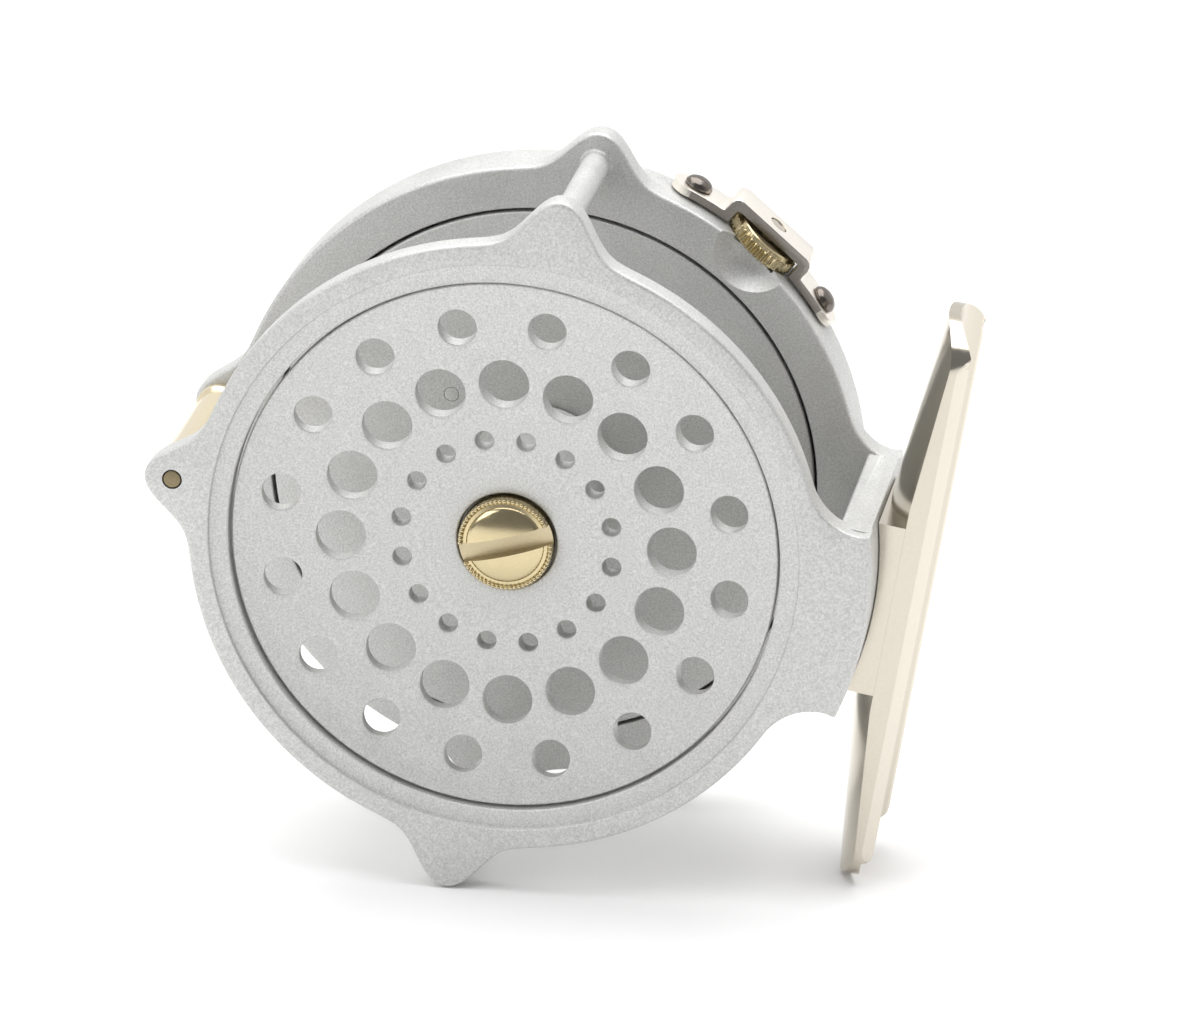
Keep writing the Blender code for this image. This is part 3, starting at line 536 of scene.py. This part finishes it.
def build_cage():
    """The whole cage, with its bores, the thumb scallop and the regulator's pocket."""
    cage = rear_housing()
    unite(cage, front_ring())
    for angle in (90.0, 270.0):
        unite(cage, pillar(angle))
    unite(cage, foot_block())
    bore = [(0.0, -1.0), (PIN_BORE + 0.15, -1.0), (PIN_BORE, 0.1), (PIN_BORE, 40.0), (0.0, 40.0)]
    cut(cage, lathe("pin_bore", bore, None, at(polar(PILLAR_R, 180.0)), 0.0, 48))
    arc = [math.radians(-70.0 + 10.0 * k) for k in range(15)]
    ball = [(SCALLOP_R * math.cos(t), SCALLOP_R * math.sin(t)) for t in arc]
    profile = [(0.0, ball[0][1])] + ball + [(0.0, ball[-1][1])]
    cut(cage, lathe("scallop", profile, None, at(polar(*SCALLOP_CENTRE)), 0.0, 96))
    across = radial(CHECK_ANGLE)
    pocket = rod(KNURL_R + 0.15, KNURL_IN - 0.2, OUTSIDE)
    cut(cage, lathe("wheel_pocket", pocket, None, across, 0.0, 96))
    cut(cage, lathe("screw_bore", rod(SCREW_BORE, 30.0, OUTSIDE), None, across, 0.0, 32))
    for side in (-1, 1):
        place = radial(CHECK_ANGLE + side * STRAP_SCREW_ANGLE)
        cut(cage, lathe("strap_bore", rod(STRAP_BORE, 34.6, OUTSIDE), None, place, 0.0, 32))
    return seat(cage, "cage", "anodised_aluminium", "cage")


# ---------------------------------------------------------------- drum

def face_height(radius):
    """The front flange's face at this radius."""
    for (r0, y0), (r1, y1) in zip(FACE_PROFILE, FACE_PROFILE[1:]):
        if radius <= r1:
            return y0 + (y1 - y0) * (radius - r0) / (r1 - r0)
    return FACE_PROFILE[-1][1]


def divided(points, longest=1.1):
    """Put extra points on the long runs of an outline, so that its faces stay small and shade evenly."""
    result = []
    for point, after in zip(points, points[1:]):
        count = max(1, math.ceil(math.dist(point[:2], after[:2]) / longest))
        result.append(point)
        for k in range(1, count):
            share = k / count
            x = point[0] + (after[0] - point[0]) * share
            result.append((x, point[1] + (after[1] - point[1]) * share, 0.0))
    return result + [points[-1]]


def hole_cutter(circle, radius, angle):
    """A round cutter square to the dished face, flared so that the hole gets a rounded lip."""
    slope = math.atan2(face_height(circle + 1.0) - face_height(circle - 1.0), 2.0)
    turns = [math.radians(a) for a in (20.0, 40.0, 65.0, 90.0)]
    profile = [(0.0, -3.0), (radius + HOLE_LIP * 1.65, -3.0), (radius + HOLE_LIP * 1.65, -0.3 * HOLE_LIP)]
    profile += [(radius + HOLE_LIP * (1 - math.sin(t)), HOLE_LIP * (1 - math.cos(t))) for t in turns]
    profile += [(radius, 5.0), (0.0, 5.0)]
    lie = at((circle, face_height(circle), 0.0)) @ Matrix.Rotation(slope, 4, "Z") @ turned_by(1.7)
    return lathe("hole", profile, None, turned_by(angle + DRUM_TURN) @ lie, 0.0, 48)


def join(objects):
    """Join separate cutters into one object."""
    bm = bmesh.new()
    for obj in objects:
        bm.from_mesh(obj.data)
        bpy.data.objects.remove(obj, do_unlink=True)
    mesh = bpy.data.meshes.new("joined")
    bm.to_mesh(mesh)
    bm.free()
    made = bpy.data.objects.new("joined", mesh)
    bpy.context.scene.collection.objects.link(made)
    return made


def rivet_spots():
    return [polar(RIVET_R, angle + DRUM_TURN) for angle in RIVET_ANGLES]


def rivet_bores():
    """One cutter for the three rivet holes."""
    bore = rod(RIVET_BORE, 20.0, 31.0)
    return join([lathe("rivet_bore", bore, None, at(spot), 0.0, 32) for spot in rivet_spots()])


def build_drum():
    """The perforated flange with its arbor, the rear flange, and the rivets of the check wheel."""
    rim = [(DRUM_R, 1.4), (DRUM_R, 2.9)]
    inner = [(29.4, 3.6), (14.8, 5.1), (ARBOR_R + 0.9, 5.9), (ARBOR_R, 7.4, 1.0), (ARBOR_R, 24.6, 1.0)]
    profile = [(BORE_R, 5.0), (NUT_SEAT_R, 5.0)] + [(*point, 0.2) for point in FACE_PROFILE]
    profile += rim + inner + [(ARBOR_R + 1.0, 26.4), (BORE_R, 26.4)]
    drum = lathe("drum_body", divided(profile), "drum_aluminium", turned_by(DRUM_TURN), 0.15, 256)
    for circle, radius, first in HOLE_RINGS:
        turns = [first + 360.0 * k / HOLES_PER_RING for k in range(HOLES_PER_RING)]
        cut(drum, join([hole_cutter(circle, radius, turn) for turn in turns]))
    seat(drum, "drum", "drum_aluminium", "drum")
    back = REAR_Y + 1.4
    flange = [(BORE_R, REAR_Y), (REAR_FLANGE_R, REAR_Y, 0.3), (REAR_FLANGE_R, back), (BORE_R, back)]
    flange = lathe("rear_flange", flange, "drum_aluminium", turned_by(DRUM_TURN), 0.12, 256)
    cut(flange, rivet_bores())
    seat(flange, "drum", "drum_aluminium", "drum_rear_flange")
    for number, spot in enumerate(rivet_spots(), start=1):
        shank = rod(RIVET_SHANK_R, REAR_Y + 0.02, 30.7)
        rivet = lathe(f"rivet_{number}", shank, "drum_aluminium", at(spot), 0.05, 32)
        seat(rivet, "drum", "steel", f"wheel_rivet_{number}")


def bead_row(turn):
    """One row of the beaded rim: each bead is a ball, seen as a section that swells and shrinks."""
    pitch = 2 * math.pi * BEAD_CIRCLE / BEADS

    def row(angle):
        along = ((angle / 360.0 * BEADS) % 1.0 - 0.5) * pitch
        size = max(0.1, math.sqrt(max(0.0, (pitch / 2) ** 2 - along ** 2)))
        return BEAD_CIRCLE + size * math.cos(turn), BEAD_Y + size * math.sin(turn)
    return row


def build_lock_screw():
    """The screw that holds the drum: a shallow dome, a beaded rim and a slot for a coin."""
    dome = [(4.3 * k / 12, 1.35 + 0.75 * (k / 12) ** 2.2) for k in range(13)]
    rows = dome + [(4.5, 2.35), (4.86, 2.42)]
    rows += [bead_row(math.radians(195.0 + 30.0 * k)) for k in range(6)]
    rows += [bead_row(math.radians(15.0))]
    rows += [(SCREW_HEAD_R, 2.7), (SCREW_HEAD_R, 4.5), (SCREW_HEAD_R - 0.1, 4.6), (3.6, 4.6), (3.6, 4.9)]
    rows += [(1.8, 4.9), (1.8, 10.0), (1.5, 10.4), (0.0, 10.4)]
    angles = [0.5 * k for k in range(720)]
    turn = turned_by(SCREW_TURN + math.degrees(LEAN))
    screw = revolve("lock_screw_body", rows, "brass", angles, turn)
    slot = rounded(strip(-7.0, 7.0, COIN_SLOT_HALF), 0.1)
    cut(screw, prism("coin_slot", slot, -1.0, COIN_SLOT_FLOOR, "dull_brass", turn))
    return seat(screw, "lock_screw", "brass", "lock_screw")


# ---------------------------------------------------------------- winding plate and handle

def build_winding_side():
    """The winding plate with its raised cap, the nut on the spindle, and the handle."""
    end = PLATE_END
    profile = [
        (3.3, 28.6), (4.0, 28.6), (4.0, 37.1), (10.3, 37.1), (10.3, 34.9), (31.9, 34.9),
        (31.9, end, 0.4), (30.6, end, 0.1), (30.3, end - 0.2, 0.1), (29.9, end - 0.2, 0.1),
        (29.6, end, 0.1), (13.4, end, 0.5), (12.2, end + 0.6, 0.4), (12.2, 37.6, 0.3),
        (11.2, 38.4, 0.6), (3.3, 38.4),
    ]
    plate = lathe("winding_plate_body", profile, "plate_aluminium", None, 0.12, 256)
    place = polar(HANDLE_R, HANDLE_ANGLE)
    cut(plate, lathe("handle_bore", rod(HANDLE_BORE, 30.0, 40.0), None, at(place), 0.0, 48))
    seat(plate, "drum", "plate_aluminium", "winding_plate")
    nut = [(2.3, 38.5), (4.6, 38.5), (4.8, 38.7), (4.8, 39.7, 0.3), (4.2, 40.1), (2.3, 40.1)]
    nut = lathe("spindle_nut_body", nut, "brass", None, 0.12)
    cut(nut, prism("nut_slot", strip(-6.0, 6.0, 0.5), 39.4, 41.5, None))
    seat(nut, "drum", "brass", "spindle_nut")
    collar = [(HANDLE_BORE, 36.5), (4.4, 36.5), (4.4, 36.9), (4.0, 37.1), (HANDLE_BORE, 37.1)]
    seat(lathe("handle_collar_body", collar, "nickel_silver", at(place), 0.1, 96), "drum",
         "nickel_silver", "handle_collar")
    knob = [
        (HANDLE_BORE, 37.4), (3.6, 37.4, 0.3), (3.9, 37.9, 0.3), (3.2, 41.0, 2.0),
        (3.1, 43.0, 4.0), (3.6, 46.5, 5.0), (4.4, 50.0, 4.0), (4.7, 52.2, 2.0),
        (4.3, 54.2, 1.2), (3.4, 55.0, 0.6), (HANDLE_BORE, 55.0),
    ]
    knob = [(*point, 0.15) if len(point) == 2 else point for point in knob]
    rows = rounded(knob, 0.15, 6)
    angles = [3.0 * k for k in range(120)]
    knob = revolve("handle_knob_body", rows, "ivory_resin", angles, at(place), 40.0)
    seat(knob, "knob", "ivory_resin", "handle_knob")
    post = lathe("handle_post_body", rod(1.5, 35.1, 55.4), "steel", at(place), 0.1, 64)
    seat(post, "drum", "steel", "handle_post")
    cap = [(0.0, 55.7), (2.6, 55.7), (2.5, 56.2, 0.3), (1.6, 56.6, 0.6), (0.0, 56.7)]
    cap = lathe("handle_screw_body", cap, "nickel_silver", at(place), 0.1, 96)
    cut(cap, prism("cap_slot", strip(-4.0, 4.0, 0.3), 56.3, 58.0, None, at(place)))
    seat(cap, "drum", "nickel_silver", "handle_screw")


# ---------------------------------------------------------------- roller

def build_roller():
    """The line roller and its pin, whose end shows in the left lobe."""
    centre = at(polar(PILLAR_R, 180.0))
    pin = [(0.0, 0.02), (PIN_R, 0.02), (PIN_R, 30.1), (PIN_R - 0.1, 30.35), (0.0, 30.35)]
    pin = lathe("roller_pin_body", pin, "pin_bronze", centre, 0.08, 64)
    seat(pin, "cage", "pin_bronze", "roller_pin")
    y0 = RING_T + CLEAR
    y1 = REAR_Y - CLEAR
    near_end = [(ROLLER_BORE, y0), (ROLLER_END_R, y0, 0.5), (ROLLER_END_R, y0 + 1.6, 0.4),
                (ROLLER_R, y0 + 2.1, 0.2)]
    far_end = [(ROLLER_R, y1 - 2.1, 0.2), (ROLLER_END_R, y1 - 1.6, 0.4), (ROLLER_END_R, y1, 0.5),
               (ROLLER_BORE, y1)]
    sleeve = near_end + far_end
    sleeve = lathe("line_roller_body", sleeve, "pale_gold", centre, 0.1, 96)
    seat(sleeve, "roller", "nickel_silver", "line_roller")


# ---------------------------------------------------------------- regulator

def knurl_row(radius, y, depth):
    """A ridged row: the radius falls by depth in each groove."""
    def row(angle):
        return radius - depth * abs(math.sin(math.radians(angle) * KNURL_COUNT / 2)) ** 1.5, y
    return row


def build_regulator():
    """The knurled wheel, its screw, the strap over them, and the strap's two dome-headed screws."""
    across = radial(CHECK_ANGLE)
    angles = [0.75 * k for k in range(480)]
    rows = [(SCREW_BORE, KNURL_IN)]
    ridged = ((KNURL_IN, 0.3, 0.2), (KNURL_IN + 0.15, 0.05, 0.4), (KNURL_IN + 0.25, 0.0, 0.45),
              (KNURL_OUT - 0.75, 0.0, 0.45), (KNURL_OUT - 0.65, 0.25, 0.1))
    plain = ((KNURL_OUT - 0.6, 0.3, 0.0), (KNURL_OUT - 0.12, 0.3, 0.0), (KNURL_OUT, 0.45, 0.0))
    rows += [knurl_row(KNURL_R - trim, y, depth) for y, trim, depth in ridged + plain]
    rows.append((SCREW_BORE, KNURL_OUT))
    wheel = revolve("knurled_wheel", rows, "brass", angles, across, 25.0)
    seat(wheel, "regulator_wheel", "brass", "regulator_wheel")
    screw = [(0.0, 28.6), (1.3, 28.6), (1.3, 29.2), (1.05, 29.2), (1.05, 40.36), (0.0, 40.36)]
    screw = lathe("regulator_screw_body", screw, "nickel_silver", across, 0.08, 48)
    seat(screw, "regulator_screw", "steel", "regulator_screw")
    build_strap()
    for name, side in (("strap_screw_lower", -1), ("strap_screw_upper", 1)):
        bolt = [
            (0.0, 35.0), (0.8, 35.0), (0.8, 38.6), (1.68, 38.6), (1.68, 38.85, 0.2), (1.4, 39.35, 0.7),
            (0.75, 39.68, 1.2), (0.0, 39.75),
        ]
        place = radial(CHECK_ANGLE + side * STRAP_SCREW_ANGLE)
        bolt = lathe(f"{name}_body", bolt, "blued_steel", place, 0.1, 64)
        seat(bolt, "cage", "blued_steel", name)


def build_strap():
    """The regulator's bridge: two curved feet with round ends and a square hat over the wheel."""
    inner = CUP_R + CLEAR
    outer = inner + STRAP_T - CLEAR
    half_in = STRAP_WINDOW
    half_out = STRAP_WINDOW + STRAP_T
    join_in = math.degrees(math.asin(half_in / inner))
    join_out = math.degrees(math.asin(half_out / outer))
    steps = 8
    side = [polar(outer, STRAP_ARC + (join_out - STRAP_ARC) * k / steps) for k in range(steps + 1)]
    under = [polar(inner, join_in + (STRAP_ARC - join_in) * k / steps) for k in range(steps + 1)]
    right = [(p.x, p.z, 0.0) for p in side[:-1]] + [(side[-1].x, side[-1].z, 0.5)]
    right += [(STRAP_TOP + STRAP_T, half_out, 1.0)]
    window = [(STRAP_TOP, half_in, 0.3), (under[0].x, under[0].z, 0.15)]
    window += [(p.x, p.z, 0.0) for p in under[1:]]
    left = [(x, -z, r) for x, z, r in reversed(right)]
    far = [(x, -z, r) for x, z, r in reversed(window)]
    outline = rounded(right + left + far + window, 0.0)
    y0 = CHECK_Y - STRAP_HALF_WIDTH
    y1 = CHECK_Y + STRAP_HALF_WIDTH
    # The strap is a lighter copy of the nickel (painted highlight). Its front and back faces, whose normals run
    # along Y, take a darker copy: painted shade on the sides turned from the light.
    strap = prism("strap_body", outline, y0, y1, "painted_lit_nickel", turned_by(CHECK_ANGLE), 0.12)
    strap.data.materials.append(MATERIALS["painted_shade_nickel"])
    for polygon in strap.data.polygons:
        if abs(polygon.normal.y) > 0.7:
            polygon.material_index = 1
    for side_sign in (-1, 1):
        end = radial(CHECK_ANGLE + side_sign * (STRAP_ARC - STRAP_END))
        cut(strap, round_end_cutter(end, side_sign))
        place = radial(CHECK_ANGLE + side_sign * STRAP_SCREW_ANGLE)
        cut(strap, lathe("strap_hole", rod(STRAP_BORE, 34.0, OUTSIDE), None, place, 0.0, 32))
    hole = rod(STRAP_TOP_BORE, 30.0, OUTSIDE)
    cut(strap, lathe("strap_top_hole", hole, None, radial(CHECK_ANGLE), 0.0, 32))
    return seat(strap, "cage", "nickel_silver", "regulator_strap")


def round_end_cutter(lie, side):
    """What is outside a half circle at one end of the strap, as a block along the radius."""
    half = STRAP_HALF_WIDTH
    arc = [(half * math.sin(t) * side, half * math.cos(t)) for t in [math.pi * k / 16 for k in range(17)]]
    far = 6.0 * side
    wide = half + 1.0
    outline = [(0.0, wide), (far, wide), (far, -wide), (0.0, -wide)] + list(reversed(arc))
    bm = bmesh.new()
    rings = [[bm.verts.new((y, level, x)) for x, y in outline] for level in (35.0, 43.0)]
    skin(bm, rings, False)
    bm.faces.new(rings[0])
    bm.faces.new(rings[1])
    turn = Matrix.Rotation(math.pi / 2, 4, "Y")
    return make("end_cutter", bm, None, lie @ turn @ Matrix.Rotation(-math.pi / 2, 4, "Y"))


# ---------------------------------------------------------------- foot

def foot_section(z):
    """One section of the foot: a crescent with its hollow side towards the rod."""
    end = FOOT_LENGTH / 2
    from_end = end - abs(z)
    half = FOOT_HALF
    if from_end < TIP_TAPER:
        half -= (FOOT_HALF - TIP_HALF) * (1.0 - math.sqrt(1.0 - (1.0 - from_end / TIP_TAPER) ** 2))
    slope = max(0.0, (abs(z) - FOOT_LEVEL) / (end - FOOT_LEVEL))
    vertex = FOOT_VERTEX + FOOT_VERTEX_RISE * slope
    edge = FOOT_EDGE + FOOT_EDGE_RISE * slope
    drop = min(1.0, max(0.0, (-TONGUE_START - z) / TONGUE_SLOPE))
    top = HORN_X + (TONGUE_X - HORN_X) * drop * drop * (3.0 - 2.0 * drop)
    root = math.sqrt(TROUGH_R ** 2 - TROUGH_HALF ** 2)
    rows = 52
    spread = [-1.0 + 2.0 * k / rows for k in range(rows + 1)]
    rod_side = []
    for share in spread:
        v = share * half
        depth = max(0.0, math.sqrt(TROUGH_R ** 2 - v * v) - root)
        bevel = FOOT_BEVEL * max(0.0, abs(v) - TROUGH_HALF) / (FOOT_HALF - TROUGH_HALF)
        rod_side.append(Vector((min(HORN_X - depth - bevel, top), FOOT_Y + v, z)))
    reel_side = []
    for share in reversed(spread):
        v = share * half
        reel_side.append(Vector((vertex + (edge - vertex) * (v / FOOT_HALF) ** 2, FOOT_Y + v, z)))
    return rod_side + reel_side


def build_foot():
    """The foot with its saddle on the cage's pad, its trough, and its two screws."""
    end = FOOT_LENGTH / 2
    shaped = [0.0, 4.0, 8.0, FOOT_LEVEL, 16.0, 20.0, 24.0, 28.0]
    shaped += [TONGUE_START - TONGUE_SLOPE * 0.2, TONGUE_START - 0.1]
    steps = {-TONGUE_START - TONGUE_SLOPE * k / 8 for k in range(9)}
    tips = {end - TIP_TAPER * (1 - math.sin(math.pi / 2 * k / 18)) for k in range(19)}
    stations = {z for z in shaped if z < end - TIP_TAPER} | tips
    stations = sorted(stations | {-z for z in stations} | steps)
    bm = bmesh.new()
    rings = [[bm.verts.new(point) for point in foot_section(z)] for z in stations]
    skin(bm, rings, False)
    bm.faces.new(rings[0])
    bm.faces.new(rings[-1])
    foot = make("foot_body", bm, "nickel_silver")
    block = rounded(strip(40.6, 45.4, SADDLE_HALF), 0.25)
    width = FOOT_HALF - 0.02
    unite(foot, prism("saddle_stock", block, FOOT_Y - width, FOOT_Y + width, None))
    trough_x = HORN_X + math.sqrt(TROUGH_R ** 2 - TROUGH_HALF ** 2)
    lie = at((trough_x, FOOT_Y, 0.0)) @ Matrix.Rotation(math.pi / 2, 4, "X")
    trough = rod(TROUGH_R, -SADDLE_HALF - 1.0, SADDLE_HALF + 1.0)
    cut(foot, lathe("trough", trough, None, lie, 0.0, FINE))
    cut(foot, lathe("saddle", rod(PAD_R + SADDLE_GAP, -5.0, 40.0), None, None, 0.0, 360))
    # Faces turned to the front (-Y) and outward (+X) take a lighter copy of the nickel: a painted reflection on
    # the foot's side face.
    foot.data.materials.append(MATERIALS["painted_sheen_nickel"])
    for polygon in foot.data.polygons:
        if polygon.normal.x > 0.2 and polygon.normal.y < -0.6:
            polygon.material_index = 1
    for side, name in ((-1, "foot_screw_lower"), (1, "foot_screw_upper")):
        lay = at((0.0, FOOT_Y, side * FOOT_SCREW_Z)) @ Matrix.Rotation(-math.pi / 2, 4, "Z")
        hole = [(0.0, 38.0), (1.6, 38.0), (1.6, 43.0), (3.1, 44.5), (3.1, 50.0), (0.0, 50.0)]
        cut(foot, lathe("foot_hole", hole, None, lay, 0.0, 64))
        shank = [(0.0, 39.2), (1.3, 39.2), (1.3, 43.1), (2.7, 44.5), (2.7, 44.7), (0.0, 44.7)]
        screw = lathe(f"{name}_body", shank, "nickel_silver", lay, 0.08, 64)
        middle = at((0.0, FOOT_Y, side * FOOT_SCREW_Z))
        cut(screw, prism("foot_slot", strip(44.2, 50.0, 0.3), -4.0, 4.0, None, middle))
        seat(screw, "cage", "nickel_silver", name)
    return seat(foot, "cage", "nickel_silver", "foot")


# ---------------------------------------------------------------- check

def build_check_wheel():
    """The click wheel on the drum's back; a gap between two teeth faces the pawl."""
    pitch = 360.0 / CHECK_TEETH
    y0 = REAR_Y + 1.7
    angles = []
    radii = []
    tooth_shape = ((-0.30, 16.0), (-0.19, 16.7), (-0.08, 17.4), (0.08, 17.4), (0.19, 16.7), (0.30, 16.0))
    for tooth in range(CHECK_TEETH):
        middle = CHECK_ANGLE + (tooth + 0.5) * pitch
        for step, radius in tooth_shape:
            angles.append(middle + step * pitch)
            radii.append(radius)
    lookup = dict(zip(angles, radii))
    rows = [(9.0, y0 + 0.1), (9.1, y0), (15.3, y0), (15.4, y0 + 0.1), (15.4, 31.2)]
    rows += [lambda angle: (lookup[angle], 31.2), lambda angle: (lookup[angle], 32.6), (9.0, 32.6)]
    wheel = revolve("check_wheel_body", rows, "brass", angles)
    cut(wheel, rivet_bores())
    return seat(wheel, "drum", "brass", "check_wheel")


def build_spring():
    """The click spring: a coil of five and a half turns at an even pitch."""
    turns = 5.5
    steps = 132
    bm = bmesh.new()
    rings = []
    for k in range(steps + 1):
        share = k / steps
        turn = 2 * math.pi * turns * share
        out = Vector((math.cos(turn), 0.0, math.sin(turn)))
        centre = out * SPRING_R + Vector((0.0, SPRING_IN + (SPRING_OUT - SPRING_IN) * share, 0.0))
        ring = []
        for side in range(10):
            angle = 2 * math.pi * side / 10
            offset = out * math.cos(angle) + Vector((0.0, math.sin(angle), 0.0))
            ring.append(bm.verts.new(centre + offset * SPRING_WIRE))
        rings.append(ring)
    skin(bm, rings, False)
    bm.faces.new(rings[0])
    bm.faces.new(rings[-1])
    spring = make("click_spring_coil", bm, "spring_steel", radial(CHECK_ANGLE))
    seat(spring, "cage", "spring_steel", "click_spring")
    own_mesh(spring)


def finish_cad_nodes():
    """Give the CAD nodes that stay visible the material of their slot."""
    for entry in frame["record"]["subparts"]:
        obj = frame["nodes"][entry["node"]]
        if obj.hide_render:
            continue
        obj.data.materials.clear()
        obj.data.materials.append(MATERIALS[entry["material_slot"]])


# ---------------------------------------------------------------- studio

def stage_material():
    mat = bpy.data.materials.new("studio_floor")
    mat.use_nodes = True
    shader = mat.node_tree.nodes["Principled BSDF"]
    shader.inputs["Base Color"].default_value = (0.96, 0.96, 0.96, 1.0)
    shader.inputs["Roughness"].default_value = 0.6
    shader.inputs["Specular IOR Level"].default_value = 0.2
    return mat


def build_stage():
    bpy.ops.mesh.primitive_plane_add(size=6.0, location=(0.0, 0.0, 0.0))
    floor = bpy.context.object
    floor.name = "studio_floor"
    floor.data.materials.append(stage_material())


def area_light(name, place, target, size, power):
    light = bpy.data.lights.new(name, "AREA")
    light.shape = "RECTANGLE"
    light.size = size[0]
    light.size_y = size[1]
    light.energy = power
    obj = bpy.data.objects.new(name, light)
    obj.location = place
    obj.rotation_euler = (Vector(target) - Vector(place)).to_track_quat("-Z", "Y").to_euler()
    bpy.context.scene.collection.objects.link(obj)


def build_world():
    """A white room, darker low down in front, so that polished metal has something to reflect."""
    world = bpy.data.worlds.new("studio")
    bpy.context.scene.world = world
    world.use_nodes = True
    tree = world.node_tree
    background = tree.nodes["Background"]
    place = tree.nodes.new("ShaderNodeTexCoord")
    split = tree.nodes.new("ShaderNodeSeparateXYZ")
    tree.links.new(place.outputs["Generated"], split.inputs["Vector"])
    ramp = tree.nodes.new("ShaderNodeValToRGB")
    ramp.color_ramp.elements[0].position = 0.25
    ramp.color_ramp.elements[0].color = (0.25, 0.25, 0.26, 1.0)
    ramp.color_ramp.elements[1].position = 0.62
    ramp.color_ramp.elements[1].color = (1.0, 1.0, 1.0, 1.0)
    lift = tree.nodes.new("ShaderNodeMath")
    lift.operation = "MULTIPLY_ADD"
    lift.inputs[1].default_value = 0.5
    lift.inputs[2].default_value = 0.5
    tree.links.new(split.outputs["Y"], lift.inputs[0])
    tree.links.new(lift.outputs["Value"], ramp.inputs["Fac"])
    tree.links.new(ramp.outputs["Color"], background.inputs["Color"])
    background.inputs["Strength"].default_value = 1.0


def build_camera():
    """The photo's viewpoint: 9.5 degrees to the right of the drum's axis and 20 degrees above it."""
    azimuth = math.radians(CAMERA_AZIMUTH)
    elevation = math.radians(CAMERA_ELEVATION)
    right = Vector((math.cos(azimuth), math.sin(azimuth), 0.0))
    ahead = Vector((-math.sin(azimuth) * math.cos(elevation), math.cos(azimuth) * math.cos(elevation),
                    -math.sin(elevation)))
    up = right.cross(ahead)
    camera = bpy.data.cameras.new("camera")
    camera.lens = CAMERA_LENS
    camera.sensor_width = 36.0
    camera.clip_start = 0.05
    obj = bpy.data.objects.new("camera", camera)
    turn = Matrix((right, up, -ahead)).transposed().to_4x4()
    obj.matrix_world = Matrix.Translation(ORIGIN + Vector(CAMERA_OFFSET)) @ turn
    bpy.context.scene.collection.objects.link(obj)
    bpy.context.scene.camera = obj


build_camera()
build_cage()
build_drum()
build_lock_screw()
build_winding_side()
build_roller()
build_regulator()
build_foot()
build_check_wheel()
build_spring()
finish_cad_nodes()
build_stage()
build_world()
area_light("overhead", (0.0, 0.1, 0.9), LIGHT_TARGET, (1.1, 1.1), 10.0)
area_light("left_front", (-0.7, -0.7, 0.55), LIGHT_TARGET, (0.6, 0.6), 3.0)
bpy.context.scene.view_settings.view_transform = "Standard"
